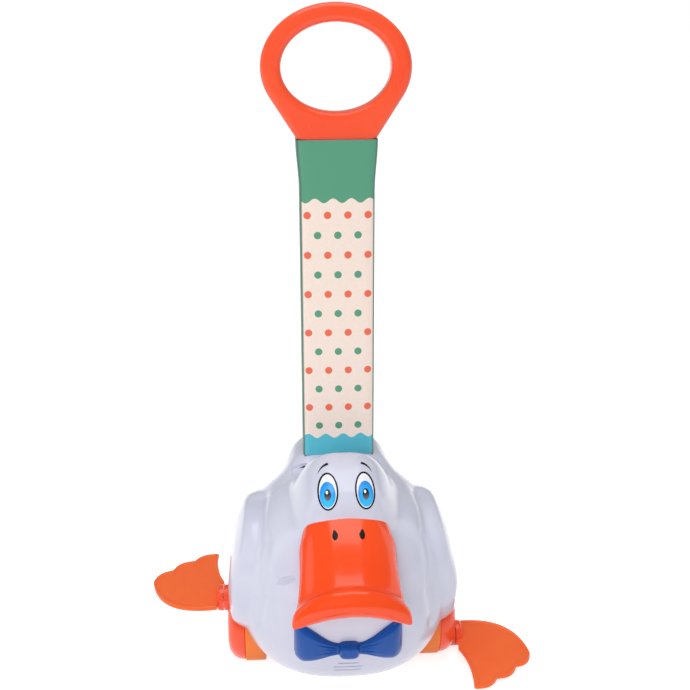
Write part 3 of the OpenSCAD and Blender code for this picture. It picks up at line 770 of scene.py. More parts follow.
@dataclass(frozen=True)
class DuckSkin:
    """Outer skin of the duck, as a distance from its core along each direction."""

    torso_w: float = 73.5
    torso_front: float = 81.5
    torso_rear: float = 70.0
    torso_z: float = 72.0
    torso_up: float = 76.0
    torso_down: float = 67.0
    torso_fullness: float = 2.5
    low_bulge: float = 3.2
    low_from: float = 0.3
    low_span: float = 0.6
    head_w: float = 39.0
    head_d: float = 42.0
    head_fwd: float = 44.0
    head_top: float = 172.5
    head_fullness: float = 3.0
    collar_w: float = 41.0
    collar_d: float = 30.0
    collar_back: float = 42.0
    collar_top: float = 155.5
    collar_fullness: float = 4.5
    blend_power: float = 16.0
    wing_t: float = 7.5
    wing_len: float = 50.0
    wing_h: float = 48.0
    wing_back: float = 2.0
    wing_z: float = 82.0
    wing_edge: float = 0.5
    wing_from: float = 0.3
    wing_span: float = 0.25
    elbow_out: float = 3.0
    elbow_fwd: float = 32.0
    elbow_z: float = 81.0
    elbow_r: float = 14.0
    tail_len: float = 20.0
    tail_z: float = 96.0
    tail_spread_deg: float = 15.0
    crease_deep: float = 2.2
    crease_w: float = 6.5
    crease: tuple[tuple[float, float, float], ...] = (
        (57.6, 20.0, 128.0), (55.2, -25.1, 117.0), (57.5, -43.7, 86.0), (62.0, -42.0, 64.0))
    clear: float = 200.0

    @property
    def core(self) -> Vector:
        """Gives the point that all directions start from."""
        return Vector((0.0, AXLE.y, self.torso_z))

    def torso(self, d: Vector) -> float:
        """Gives the torso's reach, wider below its middle.

        Args:
            d: Unit direction from the core.

        Returns:
            The reach.
        """
        width = self.torso_w + self.low_bulge * ramp((self.low_from - d.z) / self.low_span)
        depth = self.torso_front if d.y < 0 else self.torso_rear
        height = self.torso_up if d.z > 0 else self.torso_down
        return rounded_reach((d.x / width, d.y / depth, d.z / height), self.torso_fullness)

    def head(self, d: Vector) -> float:
        """Gives the reach of the head, which leans forward.

        Args:
            d: Unit direction from the core.

        Returns:
            The reach, 0 below the core.
        """
        axis = Vector((0.0, -self.head_fwd, self.head_top - self.torso_z))
        up = axis.normalized()
        across = Vector((0.0, up.z, -up.y))
        shares = (d.x / self.head_w, d.dot(across) / self.head_d, d.dot(up) / axis.length)
        return rounded_reach(shares, self.head_fullness) if d.z > 0 else 0.0

    def collar(self, d: Vector) -> float:
        """Gives the reach of the collar, which is sheared backwards and keeps a level top.

        Args:
            d: Unit direction from the core.

        Returns:
            The reach, 0 below the core.
        """
        height = self.collar_top - self.torso_z
        lean = d.z * self.collar_back / height
        shares = (d.x / self.collar_w, (d.y - lean) / self.collar_d, d.z / height)
        return rounded_reach(shares, self.collar_fullness) if d.z > 0 else 0.0

    def form(self, d: Vector) -> float:
        """Gives the reach without the wings and the tail."""
        reaches = (self.torso(d), self.head(d), self.collar(d))
        return sum(r ** self.blend_power for r in reaches) ** (1 / self.blend_power)

    def wing(self, d: Vector, reach: float) -> float:
        """Gives how far the wing stands out, fuller at its elbow in front of the wheel.

        Args:
            d: Unit direction from the core.
            reach: Reach of the body under the wing.

        Returns:
            The wing's height.
        """
        y, z = reach * d.y, self.torso_z + reach * d.z
        u = abs((y - self.wing_back) / self.wing_len) ** self.torso_fullness
        v = abs((z - self.wing_z) / self.wing_h) ** self.torso_fullness
        away = ((y + self.elbow_fwd) ** 2 + (z - self.elbow_z) ** 2) / self.elbow_r ** 2
        out = self.wing_t * ramp((1 - u - v) / self.wing_edge) + self.elbow_out * math.exp(-away)
        return out * ramp((abs(d.x) - self.wing_from) / self.wing_span)

    def tail(self, d: Vector) -> float:
        """Gives how far the tail stands out.

        Args:
            d: Unit direction from the core.

        Returns:
            The tail's height.
        """
        tip = Vector((0.0, self.torso_rear, self.tail_z - self.torso_z)).normalized()
        turn = math.degrees(math.acos(max(-1.0, min(1.0, d.dot(tip))))) / self.tail_spread_deg
        return self.tail_len * math.exp(-turn * turn)

    def fold(self, point: Vector) -> float:
        """Gives how deep the soft crease in front of the wing is.

        Args:
            point: A point near the skin.

        Returns:
            The depth.
        """
        near = Vector((abs(point.x), point.y, point.z))
        gaps = []
        for first, second in zip(self.crease, self.crease[1:]):
            start, line = Vector(first), Vector(second) - Vector(first)
            share = min(1.0, max(0.0, (near - start).dot(line) / line.length_squared))
            gaps.append((near - start - line * share).length_squared)
        return self.crease_deep * math.exp(-min(gaps) / self.crease_w ** 2)

    def reach(self, d: Vector) -> float:
        """Gives the skin's distance from the core along a direction.

        Args:
            d: Unit direction from the core.

        Returns:
            The distance.
        """
        form = self.form(d)
        full = form + self.wing(d, form) + self.tail(d)
        return full - self.fold(self.core + d * full)

    def height_over(self, point: Vector) -> float:
        """Gives how far a point lies outside the skin, seen from the core."""
        ray = point - self.core
        return ray.length - self.reach(ray.normalized())

    def landing(self, start: Vector, way: Vector, far: float, lift: float = 0.0) -> Vector:
        """Finds where a ray from outside meets the skin.

        Args:
            start: A point outside the skin.
            way: Unit direction towards the body.
            far: Distance along the ray at which it is inside.
            lift: Distance to stay above the skin.

        Returns:
            The point on the skin, lifted back along the ray.
        """
        near = 0.0
        for _ in range(HALVINGS):
            middle = (near + far) / 2
            if self.height_over(start + way * middle) > lift:
                near = middle
            else:
                far = middle
        return start + way * near

    def front_y(self, x: float, z: float) -> float:
        """Gives the front of the skin at a place across and up."""
        return self.landing(Vector((x, AXLE.y - self.clear, z)), Vector((0, 1, 0)), self.clear).y


@dataclass
class DuckShells:
    """The two moulded halves of the duck, with wheel arches, sound slots and screw wells."""

    skin: DuckSkin
    cells: int = 96
    hollow_cells: int = 24
    hollow_past: float = 1.0
    wall: float = 2.4
    seam_half: float = 0.12
    seam_deep: float = 0.4
    seam_floor: float = 0.02
    arch_r: float = 33.5
    arch_in: float = 54.75
    arch_out: float = 95.0
    arch_sides: int = 96
    well_places: tuple[tuple[float, float], ...] = (
        (-46.0, 106.0), (46.0, 106.0), (-30.0, 16.0), (30.0, 16.0))
    well_r: float = 3.05
    well_seat: float = 16.0
    well_far: float = 100.0
    well_sides: int = 32
    post_r: float = 6.0
    post_len: float = 14.0
    slot_h: float = 1.1
    slot_deep: float = 1.0
    slot_clear: float = 20.0
    slots: tuple[tuple[float, float], ...] = ((44.0, 14.0), (40.0, 20.0), (36.0, 18.0))
    bush_r: float = 7.15
    dent_middle: tuple[float, float, float] = (-41.6, -51.2, 104.3)
    dent_end: tuple[float, float, float] = (-34.9, -53.0, 107.9)
    dent_half: tuple[float, float, float] = (8.4, 2.7, 2.2)
    dent_cells: int = 20
    pocket_place: tuple[float, float] = (-29.5, 27.5)
    pocket_half: tuple[float, float, float] = (6.0, 5.0, 1.9)
    pocket_out: tuple[float, float, float] = (-0.33, -0.21, 0.92)
    pocket_round: float = 1.2
    pocket_clear: float = 60.0
    pocket_far: float = 150.0

    def open_half(self, half: Half, cells: int, reach: Callable[[Vector], float],
                  past: float) -> bmesh.types.BMesh:
        """Gives a half of the duck, open at the axle.

        Args:
            half: Which half.
            cells: Squares along each edge of the starting cube.
            reach: Distance from the core along a direction.
            past: How far the half runs beyond the axle plane.

        Returns:
            The open half.
        """
        bm = cube_sphere(cells)
        core = self.skin.core
        for vert in bm.verts:
            vert.co = core + vert.co * reach(vert.co)
        clear_behind(bm, core - half.way * past, half.way)
        return bm

    def outer(self, half: Half) -> bmesh.types.BMesh:
        """Gives the outside of a half, with a parting groove round its rim.

        Args:
            half: Which half.

        Returns:
            The closed outside.
        """
        bm = self.open_half(half, self.cells, self.skin.reach, 0.0)
        rim = open_edges(bm)
        for vert in {v for e in rim for v in e.verts}:
            vert.co += half.way * self.seam_half
        grown = bmesh.ops.extrude_edge_only(bm, edges=rim)["geom"]
        for vert in (g for g in grown if isinstance(g, bmesh.types.BMVert)):
            vert.co -= (vert.co - self.skin.core).normalized() * self.seam_deep
            vert.co.y = AXLE.y + half.value * self.seam_floor
        return close(bm)

    def arches(self, grow: float) -> list[bmesh.types.BMesh]:
        """Gives the two wheel arches, grown by a margin, as cylinders."""
        spans = [Vector((side.value, 0.0, 0.0)) for side in Side]
        return [cylinder(AXLE + span * (self.arch_in - grow), AXLE + span * self.arch_out,
                         self.arch_r + grow, self.arch_sides) for span in spans]

    def shell(self, half: Half, cuts: Sequence[bmesh.types.BMesh]) -> bmesh.types.BMesh:
        """Gives a hollow half with its cuts.

        Args:
            half: Which half.
            cuts: Closed meshes to cut out, which are used up.

        Returns:
            The shell.
        """
        inside = self.open_half(half, self.hollow_cells, lambda d: self.skin.form(d) - self.wall,
                                self.hollow_past)
        kept = [*self.arches(self.wall), *self.wells(-self.post_len, self.post_r)]
        hollow = trimmed(close(inside), kept)
        reach = Vector((self.arch_in + self.wall, 0.0, 0.0))
        bush = cylinder(AXLE - reach, AXLE + reach, self.bush_r)
        return trimmed(self.outer(half), [*self.arches(0.0), hollow, bush, *cuts])

    def grooves(self) -> list[bmesh.types.BMesh]:
        """Gives the sound slots in the belly as thin blocks.

        Returns:
            The blocks.
        """
        made = []
        for z, width in self.slots:
            front = self.skin.front_y(0.0, z)
            low = Vector((-width / 2, front - self.slot_clear, z - self.slot_h / 2))
            made.append(block(low, Vector((width / 2, front + self.slot_deep, z + self.slot_h / 2))))
        return made

    def wells(self, seat: float, radius: float) -> list[bmesh.types.BMesh]:
        """Gives the screw wells in the back, or the posts round them.

        Args:
            seat: Where they start, behind the axle.
            radius: Their radius.

        Returns:
            The cylinders.
        """
        starts = [Vector((x, AXLE.y + seat, z)) for x, z in self.well_places]
        back = Vector((0.0, self.well_far, 0.0))
        return [cylinder(start, start + back, radius, self.well_sides) for start in starts]

    def dent(self) -> bmesh.types.BMesh:
        """Gives the lens-shaped dent beside the bill.

        Returns:
            A flat oval.
        """
        middle = Vector(self.dent_middle)
        out = (middle - self.skin.core).normalized()
        along = (Vector(self.dent_end) - middle).normalized()
        side = out.cross(along).normalized()
        turn = Matrix((along, side, along.cross(side))).transposed().to_4x4()
        size = Matrix.Diagonal((*self.dent_half, 1.0))
        place = self.skin.core + out * self.skin.reach(out)
        bm = cube_sphere(self.dent_cells)
        bmesh.ops.transform(bm, matrix=Matrix.Translation(place) @ turn @ size, verts=bm.verts)
        return bm

    def pocket(self) -> bmesh.types.BMesh:
        """Gives the small pocket in front of the collar.

        Returns:
            A rounded block.
        """
        top = Vector((*self.pocket_place, self.skin.collar_top + self.pocket_clear))
        place = self.skin.landing(top, Vector((0, 0, -1)), self.pocket_far)
        out = Vector(self.pocket_out).normalized()
        along = (Vector((1, 0, 0)) - out * out.x).normalized()
        turn = Matrix((along, out.cross(along), out)).transposed().to_4x4()
        half = Vector(self.pocket_half)
        return block(-half, half, Matrix.Translation(place) @ turn, self.pocket_round)

    def build(self, socket: bmesh.types.BMesh) -> None:
        """Makes both halves.

        Args:
            socket: Closed form of the hole for the handle's tube.
        """
        cuts = {Half.FRONT: [*self.grooves(), self.dent()],
                Half.REAR: [socket, self.pocket(), *self.wells(self.well_seat, self.well_r)]}
        for half in Half:
            shell = self.shell(half, cuts[half])
            settle(shell, f"duck_{half.word}", WHITE, Body.DUCK, [f"body_{half.word}_shell"])


@dataclass
class Face:
    """Printed eyes and brows, laid on the skin from in front and above."""

    skin: DuckSkin
    look_down_deg: float = 21.0
    anchor: tuple[float, float, float] = (0.0, -45.0, 166.5)
    stand_off: float = 120.0
    far: float = 160.0
    eye_apart: float = 12.5
    eye_w: float = 6.95
    eye_h: float = 11.95
    eye_turn_deg: float = 2.5
    line_w: float = 1.15
    iris_w: float = 5.25
    iris_h: float = 8.2
    iris_out: float = 0.25
    iris_drop: float = 1.9
    pupil_w: float = 2.25
    pupil_h: float = 3.7
    glint_r: float = 0.85
    glint_stretch: float = 1.3
    glint_off: tuple[float, float] = (-0.5, 1.7)
    brow: tuple[tuple[float, float], ...] = ((11.0, 17.3), (16.0, 16.2), (18.6, 10.8))
    brow_w: float = 1.5
    brow_round: float = 0.05
    brow_taper: float = 0.7
    brow_cells: tuple[int, int] = (24, 4)
    disc_sides: int = 64
    disc_rings: int = 7
    base_lift: float = 0.08
    layer: float = 0.05

    def __post_init__(self) -> None:
        """Works out the print's directions."""
        down = math.radians(self.look_down_deg)
        self.way = Vector((0.0, math.cos(down), -math.sin(down)))
        self.up = Vector((0.0, math.sin(down), math.cos(down)))

    def spot(self, across: float, up: float, layer: int) -> Vector:
        """Gives a point of a printed layer, from a place across and up the print."""
        start = Vector(self.anchor) + Vector((across, 0, 0)) + self.up * up - self.way * self.stand_off
        return self.skin.landing(start, self.way, self.far, self.base_lift + self.layer * layer)

    def disc(self, name: str, finish: Finish, centre: tuple[float, float], half: tuple[float, float],
             turn_deg: float, layer: int) -> None:
        """Prints one oval.

        Args:
            name: Name of the piece.
            finish: Its ink.
            centre: Place across and up from the print's middle.
            half: Half width and half height.
            turn_deg: Turn of the oval.
            layer: Layers of ink under it.
        """
        bm = unit_disc(self.disc_sides, self.disc_rings)
        tag = bm.verts.layers.float_vector.new("disc_place")
        turn = Matrix.Rotation(math.radians(turn_deg), 2)
        for vert in bm.verts:
            vert[tag] = vert.co
            flat = turn @ Vector((vert.co.x * half[0], vert.co.y * half[1]))
            vert.co = self.spot(centre[0] + flat.x, centre[1] + flat.y, layer)
        settle(bm, name, finish, Body.DUCK, sharp_deg=PRINT_SHARP_DEG)

    def print_eye(self, side: Side) -> None:
        """Prints one eye from its outline up to its glint.

        Args:
            side: Which eye.
        """
        middle = (side.value * self.eye_apart, 0.0)
        inner = (self.eye_w - self.line_w, self.eye_h - self.line_w)
        iris = (side.value * (self.eye_apart + self.iris_out), -self.iris_drop)
        glint = (iris[0] + self.glint_off[0], iris[1] + self.glint_off[1])
        layers = (("eye_outline", BLACK_INK, middle, (self.eye_w, self.eye_h)),
                  ("eye_white", WHITE_INK, middle, inner),
                  ("iris", IRIS_INK, iris, (self.iris_w, self.iris_h)),
                  ("pupil", PUPIL_INK, iris, (self.pupil_w, self.pupil_h)),
                  ("glint", WHITE_INK, glint, (self.glint_r, self.glint_r * self.glint_stretch)))
        for layer, (word, ink, centre, half) in enumerate(layers):
            self.disc(f"{side.word}_{word}", ink, centre, half, side.value * self.eye_turn_deg, layer)

    def print_brow(self, side: Side) -> None:
        """Prints one brow, thick at its inner end and thin at its outer end.

        Args:
            side: Which brow.
        """
        inner, bend, outer = (Vector(point) for point in self.brow)

        def place(u: float, v: float) -> Vector:
            """Gives a point of the brow.

            Args:
                u: Share along the brow.
                v: Share across it.

            Returns:
                The point on the skin.
            """
            flat = inner * (1 - u) ** 2 + bend * 2 * u * (1 - u) + outer * u * u
            slope = (bend - inner) * (1 - u) + (outer - bend) * u
            normal = Vector((-slope.y, slope.x)).normalized()
            width = self.brow_w * min(1.0, u / self.brow_round) ** 0.5 * (1 - u) ** self.brow_taper
            flat += normal * (v - 0.5) * width
            return self.spot(side.value * flat.x, flat.y, 0)

        bm = mapped_grid(*self.brow_cells, place)
        if side is Side.RIGHT:
            bmesh.ops.reverse_faces(bm, faces=bm.faces)
        bmesh.ops.remove_doubles(bm, verts=bm.verts, dist=WELD)
        settle(bm, f"{side.word}_brow", BLACK_INK, Body.DUCK, sharp_deg=PRINT_SHARP_DEG)

    def build(self) -> None:
        """Prints both eyes and both brows."""
        for side in Side:
            self.print_eye(side)
            self.print_brow(side)


@dataclass
class Bill:
    """Broad bill with a rolled lip and two nostrils."""

    skin: DuckSkin
    root_w: float = 65.0
    tip_w: float = 82.0
    reach: float = 118.0
    root_z: float = 134.6
    tip_z: float = 107.0
    root_t: float = 29.0
    waist_t: float = 11.0
    waist_rate: float = 1.25
    tip_t: float = 17.5
    lip_rise: float = 5.0
    lip_from: float = 0.66
    lip_span: float = 0.26
    lip_share: float = 0.885
    lip_spare: float = 0.0005
    lip_in: float = 0.1
    arch: float = 15.0
    root_arch: float = 0.62
    flare: float = 2.8
    inset: float = 8.0
    sunk: float = 18.0
    sweep: float = 6.0
    crown: float = 0.64
    lip_crown: float = 0.5
    edge_power: float = 0.85
    lip_edge_power: float = 0.75
    sides: int = 96
    rows: int = 72
    nostril_apart: float = 8.9
    nostril_share: float = 0.375
    nostril_half_w: float = 1.9
    nostril_half_share: float = 0.043
    nostril_taper: float = 0.45
    nostril_lean: float = 0.5
    nostril_lift: tuple[float, float, float] = (0.0, -0.06, 0.12)
    nostril_sides: int = 40
    nostril_rings: int = 5

    def __post_init__(self) -> None:
        """Works out where the bill leaves the head, in front of the axle."""
        self.face_y = self.skin.front_y(0.0, self.root_z) - AXLE.y
        self.start_y = self.face_y + self.sunk
        self.slope = (self.tip_z - self.root_z) / (self.reach + self.face_y)

    def point(self, turn: float, share: float) -> Vector:
        """Gives a point of the bill's surface.

        Args:
            turn: Turn round the bill, from 0 to 1.
            share: Way along the bill, from 0 inside the head to 1 at the lip.

        Returns:
            The point.
        """
        y = self.start_y - (self.reach + self.start_y) * share
        out = max(0.0, (self.face_y - y) / (self.reach + self.face_y))
        sunk = max(0.0, (y - self.face_y) / self.sunk)
        roll = ramp((out - self.lip_from) / self.lip_span)
        end = (share - self.lip_share) / (1 - self.lip_share + self.lip_spare)
        lip = math.sqrt(1 - end * end) if end > 0 else 1.0

        width = self.root_w - self.inset * sunk + (self.tip_w - self.root_w) * out ** self.flare
        waist = (self.waist_t - self.root_t) * ramp(out * self.waist_rate)
        thick = self.root_t + waist + (self.tip_t - self.waist_t) * roll
        arch = self.arch * (self.root_arch + (1 - self.root_arch) * out)
        middle = self.root_z + self.slope * (self.face_y - y) + self.lip_rise * roll

        angle = 2 * math.pi * turn
        u = signed_power(math.cos(angle), self.crown + (self.lip_crown - self.crown) * roll)
        v = signed_power(math.sin(angle), self.edge_power + (self.lip_edge_power - self.edge_power) * roll)
        return Vector((width / 2 * u * (1 - self.lip_in + self.lip_in * lip),
                       AXLE.y + y + self.sweep * out * u * u,
                       middle - arch * u * u + thick / 2 * lip * v))

    def nostril(self, side: Side) -> None:
        """Lays one teardrop nostril on the bill.

        Args:
            side: Which nostril.
        """
        bm = unit_disc(self.nostril_sides, self.nostril_rings)
        for vert in bm.verts:
            top = max(0.0, vert.co.y)
            across = side.value * (self.nostril_apart + self.nostril_lean * top)
            across += vert.co.x * self.nostril_half_w * (1.0 - self.nostril_taper * top)
            level = signed_power(across / (self.root_w / 2), 1 / self.crown)
            turn = math.acos(max(-1.0, min(1.0, level))) / (2 * math.pi)
            share = self.nostril_share - vert.co.y * self.nostril_half_share
            vert.co = self.point(turn, share) + Vector(self.nostril_lift)
        settle(bm, f"{side.word}_nostril", NOSTRIL, Body.DUCK, sharp_deg=PRINT_SHARP_DEG)

    def build(self) -> None:
        """Makes the bill and its nostrils."""
        bm = closed_tube(self.sides, self.rows, self.point)
        settle(bm, "bill_smooth", BILL_ORANGE, Body.DUCK, ["bill"])
        for side in Side:
            self.nostril(side)


@dataclass
class BowTie:
    """Pleated bow tie with a round knot."""

    skin: DuckSkin
    width: float = 74.0
    height: float = 29.0
    lift: float = 4.0
    centre_z: float = 59.0
    proud: float = 7.0
    pinch: float = 0.72
    opening: tuple[float, float] = (0.05, 1.05)
    end_from: float = 0.8
    end_span: float = 0.2001
    end_power: float = 0.7
    root_share: float = 0.5
    loop_share: float = 0.42
    swell: float = 1.6
    edge_power: float = 0.75
    pleat: float = 0.9
    pleat_w: float = 0.09
    pleat_start: float = 0.1
    pleat_rise: float = 4.0
    pleat_len: float = 0.75
    pleat_places: tuple[float, ...] = (-0.62, -0.25, 0.12, 0.5)
    rows: int = 96
    sides: int = 80
    knot_w: float = 14.6
    knot_h: float = 11.8
    knot_proud: float = 7.8
    knot_fullness: float = 3.4
    knot_ridge: float = 0.35
    knot_ridges: float = 9.0
    knot_cells: int = 18

    def __post_init__(self) -> None:
        """Works out the front of the chest behind each row of the loops."""
        self.chests = [self.skin.front_y(self.width * (row / self.rows - 0.5), self.centre_z)
                       for row in range(self.rows + 1)]

    def loop_point(self, turn: float, share: float) -> Vector:
        """Gives a point of the loops.

        Args:
            turn: Turn round the bow, from 0 to 1.
            share: Way from one end of the bow to the other, from 0 to 1.

        Returns:
            The point.
        """
        x = self.width * (share - 0.5)
        along = (abs(x) - self.knot_w / 2) / (self.width / 2 - self.knot_w / 2)
        end = max(0.0, (abs(x) / (self.width / 2) - self.end_from) / self.end_span)
        tip = math.sqrt(max(0.0, 1 - end * end))
        low = self.knot_h * self.pinch
        start, rate = self.opening
        tall = (low + (self.height - low) * ramp(along * rate + start)) * (0.5 + 0.5 * tip ** self.end_power)
        thick = self.proud * (self.root_share + self.loop_share * ramp(along * self.swell)) * tip

        angle = -2 * math.pi * turn
        rise = signed_power(math.sin(angle), self.edge_power)
        front = signed_power(math.cos(angle), self.edge_power)
        pleats = sum(math.exp(-((rise - place) / self.pleat_w) ** 2) for place in self.pleat_places)
        depth = ramp((along + self.pleat_start) * self.pleat_rise) * (1 - ramp(along / self.pleat_len))
        fold = pleats * self.pleat * depth * max(0.0, front)
        return Vector((x, self.chests[round(share * self.rows)] - thick * front + fold,
                       self.centre_z + self.lift * ramp(along) + tall / 2 * rise))

    def knot(self) -> bmesh.types.BMesh:
        """Gives the ridged knot.

        Returns:
            The closed knot.
        """
        middle = self.skin.front_y(0.0, self.centre_z)
        bm = cube_sphere(self.knot_cells)
        for vert in bm.verts:
            d = vert.co * rounded_reach(vert.co, self.knot_fullness)
            height = self.knot_ridge if d.y < 0 else 0.0
            ridge = height * math.cos(d.x * self.knot_ridges) * ramp(1 - abs(d.z))
            vert.co = Vector((d.x * self.knot_w / 2, middle + d.y * self.knot_proud - ridge,
                              self.centre_z + d.z * self.knot_h / 2))
        return bm

    def build(self) -> None:
        """Makes the loops and the knot."""
        loops = closed_tube(self.sides, self.rows, self.loop_point)
        settle(loops, "bow_loops", BOW_BLUE, Body.DUCK, ["bow_tie"])
        settle(self.knot(), "bow_knot", BOW_BLUE, Body.DUCK)


@dataclass
class Handle:
    """Leaning stem with a card sleeve below and a ring grip above."""

    skin: DuckSkin
    lean_deg: float = 4.0
    back: float = 34.0
    foot_z: float = 155.0
    tube_w: float = 49.8
    tube_d: float = 22.8
    tube_in: float = 55.0
    tube_out: float = 224.0
    seat: float = 0.15
    sleeve_gap: float = 0.3
    sleeve_fullness: float = 9.0
    sleeve_sides: int = 160
    sleeve_rows: int = 60
    sleeve_top: float = 226.0
    sleeve_clear: float = 60.0
    sleeve_far: float = 110.0
    sleeve_lift: float = 0.35
    card_t: float = 0.8
    card_edge: float = 1.2
    flare: float = 2.0
    flare_len: float = 35.0
    grip_z: float = 226.4
    ring_w: float = 102.0
    ring_h: float = 84.0
    ring_steps: int = 144
    hole_w: float = 74.6
    hole_h: float = 58.6
    band_d: float = 18.0
    band_round: float = 4.4
    band_round_steps: int = 9
    band_hold: float = 0.3
    neck_len: float = 5.0
    neck_w: float = 55.0
    neck_spare: float = 9.0
    stem_w: float = 41.5
    stem_d: float = 14.5
    stem_bottom: float = 45.7
    stem_over: float = 2.0
    stem_round: float = 1.0
    slot_low: float = 64.0
    slot_high: float = 184.0
    slot_r: float = 3.3
    slot_sides: int = 32
    seam: float = 0.15

    def __post_init__(self) -> None:
        """Works out the handle's own frame and the sleeve's inner half sizes."""
        turn = Matrix.Rotation(math.radians(-self.lean_deg), 4, "X")
        self.where = Matrix.Translation((0.0, AXLE.y + self.back, self.foot_z)) @ turn
        self.half_w = self.tube_w / 2 + self.sleeve_gap
        self.half_d = self.tube_d / 2 + self.sleeve_gap

    def socket(self) -> bmesh.types.BMesh:
        """Gives the hole that the tube sits in.

        Returns:
            A closed block.
        """
        x, y = self.tube_w / 2 + self.seat, self.tube_d / 2 + self.seat
        low = Vector((-x, -y, -self.tube_in - self.seat))
        return block(low, Vector((x, y, self.tube_out)), self.where)

    def sleeve_outline(self, turn: float) -> Vector:
        """Gives a point of the sleeve's rounded oblong.

        Args:
            turn: Turn round the sleeve, from 0 to 1.

        Returns:
            The point across and back.
        """
        c, s = math.cos(2 * math.pi * turn), math.sin(2 * math.pi * turn)
        inner = rounded_reach((c / self.half_w, s / self.half_d), self.sleeve_fullness)
        return Vector((c, s)) * (inner + self.card_t)

    def sleeve_spread(self, z: float) -> float:
        """Gives how much wider the sleeve is at a height."""
        return 1 + self.flare / self.half_w * ramp((z - self.sleeve_top + self.flare_len) / self.flare_len)

    def sleeve_foot(self, flat: Vector) -> float:
        """Gives the height at which the sleeve meets the collar.

        Args:
            flat: Point of the sleeve's outline.

        Returns:
            The height along the handle.
        """
        up = self.where.to_3x3() @ Vector((0, 0, 1))
        start = self.where @ Vector((flat.x, flat.y, self.sleeve_clear))
        foot = self.skin.landing(start, -up, self.sleeve_far, self.sleeve_lift)
        return self.sleeve_clear - (foot - start).length

    def sleeve(self) -> None:
        """Makes the card sleeve, whose foot follows the collar."""
        turns = [step / self.sleeve_sides for step in range(self.sleeve_sides + 1)]
        feet = [self.sleeve_foot(self.sleeve_outline(turn)) for turn in turns]

        def place(turn: float, share: float) -> Vector:
            """Gives a point of the sleeve's outside, whose last row is folded in over the mouth.

            Args:
                turn: Turn round the sleeve.
                share: Way up the sleeve.

            Returns:
                The point in the handle's frame.
            """
            flat = self.sleeve_outline(turn)
            foot = feet[round(turn * self.sleeve_sides)]
            rise = share * (self.sleeve_rows + 1) / self.sleeve_rows
            if round(share * (self.sleeve_rows + 1)) > self.sleeve_rows:
                fold = 1 - 2 * self.card_t / self.half_w, 1 - self.card_t / self.half_d
                return Vector((flat.x * fold[0], flat.y * fold[1], self.sleeve_top))
            z = min(self.sleeve_top, foot + (self.sleeve_top - foot) * rise)
            return Vector((flat.x * self.sleeve_spread(z), flat.y, z))

        bm = weld(mapped_grid(self.sleeve_sides, self.sleeve_rows + 1, place))
        tag = bm.verts.layers.float_vector.new("print_place")
        for vert in bm.verts:
            across = vert.co.x / self.sleeve_spread(vert.co.z)
            on_side = abs(across) > self.half_w + self.card_t - self.card_edge
            vert[tag] = Vector((across, vert.co.z, float(on_side)))
        bmesh.ops.solidify(bm, geom=bm.faces[:], thickness=self.card_t)
        bmesh.ops.recalc_face_normals(bm, faces=bm.faces)
        bmesh.ops.transform(bm, matrix=self.where, verts=bm.verts)
        settle(bm, "sleeve_printed", CARD, Body.DUCK, ["card_sleeve"])

    def ring_outline(self) -> list[tuple[Vector, Vector]]:
        """Gives the ring's edges: an oval with straight sides that run down to the neck.

        Returns:
            Pairs of points of the outer and inner edge, round the ring's middle.
        """
        a, b = self.ring_w / 2, self.ring_h / 2
        corner = Vector((self.neck_w / 2, -b - self.neck_len))
        # Quarter degrees, from the ring's side down to its foot.
        tries = [math.radians(-step / 4) for step in range(360)]
        oval = [Vector((a * math.cos(t), b * math.sin(t))) for t in tries]
        tangent = max(oval, key=lambda point: (point - corner).normalized().x)
        corner += (corner - tangent).normalized() * self.neck_spare
        line = corner - tangent

        turns = [2 * math.pi * step / self.ring_steps for step in range(self.ring_steps)]
        turns += [math.atan2(corner.y, corner.x), math.atan2(corner.y, -corner.x)]
        # Rounding makes one turn of two that are the same.
        turns = sorted({round(t if t <= math.pi else t - 2 * math.pi, 6) for t in turns})
        pairs = []
        for t in turns:
            d = Vector((math.cos(t), math.sin(t)))
            side = Vector((abs(d.x), d.y))
            outer = 1 / math.hypot(d.x / a, d.y / b)
            inner = 1 / math.hypot(d.x / (self.hole_w / 2), d.y / (self.hole_h / 2))
            below = math.atan2(side.y, side.x) <= math.atan2(tangent.y, tangent.x)
            if d.y < 0 and side.x / -side.y <= corner.x / -corner.y - SLOPE_SLACK:
                outer = corner.y / d.y
            elif d.y < 0 and below:
                outer = max(outer, tangent.cross(line) / side.cross(line))
            pairs.append((d * outer, d * inner))
        return pairs

    def band_section(self) -> list[tuple[float, float, float]]:
        """Gives the section of the ring's band, with rounded corners.

        Returns:
            Points as a side, -1 inner or 1 outer, a place off that edge, and a depth.
        """
        half, r = self.band_d / 2, self.band_round
        turns = [math.pi / 2 * step / self.band_round_steps for step in range(self.band_round_steps + 1)]
        fillet = [(r * (1 - math.cos(t)), half - r + r * math.sin(t)) for t in turns]
        fillet = [(0.0, 0.0), *fillet, (r + self.band_hold, half)]
        upper = [(-1.0, off, deep) for off, deep in fillet]
        rear = upper + [(1.0, off, deep) for _, off, deep in reversed(upper)]
        return rear + [(side, off, -deep) for side, off, deep in reversed(rear[1:-1])]

    def ring(self) -> bmesh.types.BMesh:
        """Gives the whole ring with its neck.

        Returns:
            The closed ring.
        """
        middle = self.grip_z + self.neck_len + self.ring_h / 2
        pairs, section = self.ring_outline(), self.band_section()

        def place(turn: float, share: float) -> Vector:
            """Gives a point of the ring.

            Args:
                turn: Share of the way round the ring.
                share: Share of the way round its section.

            Returns:
                The point in the handle's frame.
            """
            outer, inner = pairs[round(turn * len(pairs)) % len(pairs)]
            side, off, deep = section[round(share * len(section)) % len(section)]
            way = (outer - inner).normalized()
            flat = inner + way * off if side < 0 else outer - way * off
            return Vector((flat.x, deep, middle + flat.y))

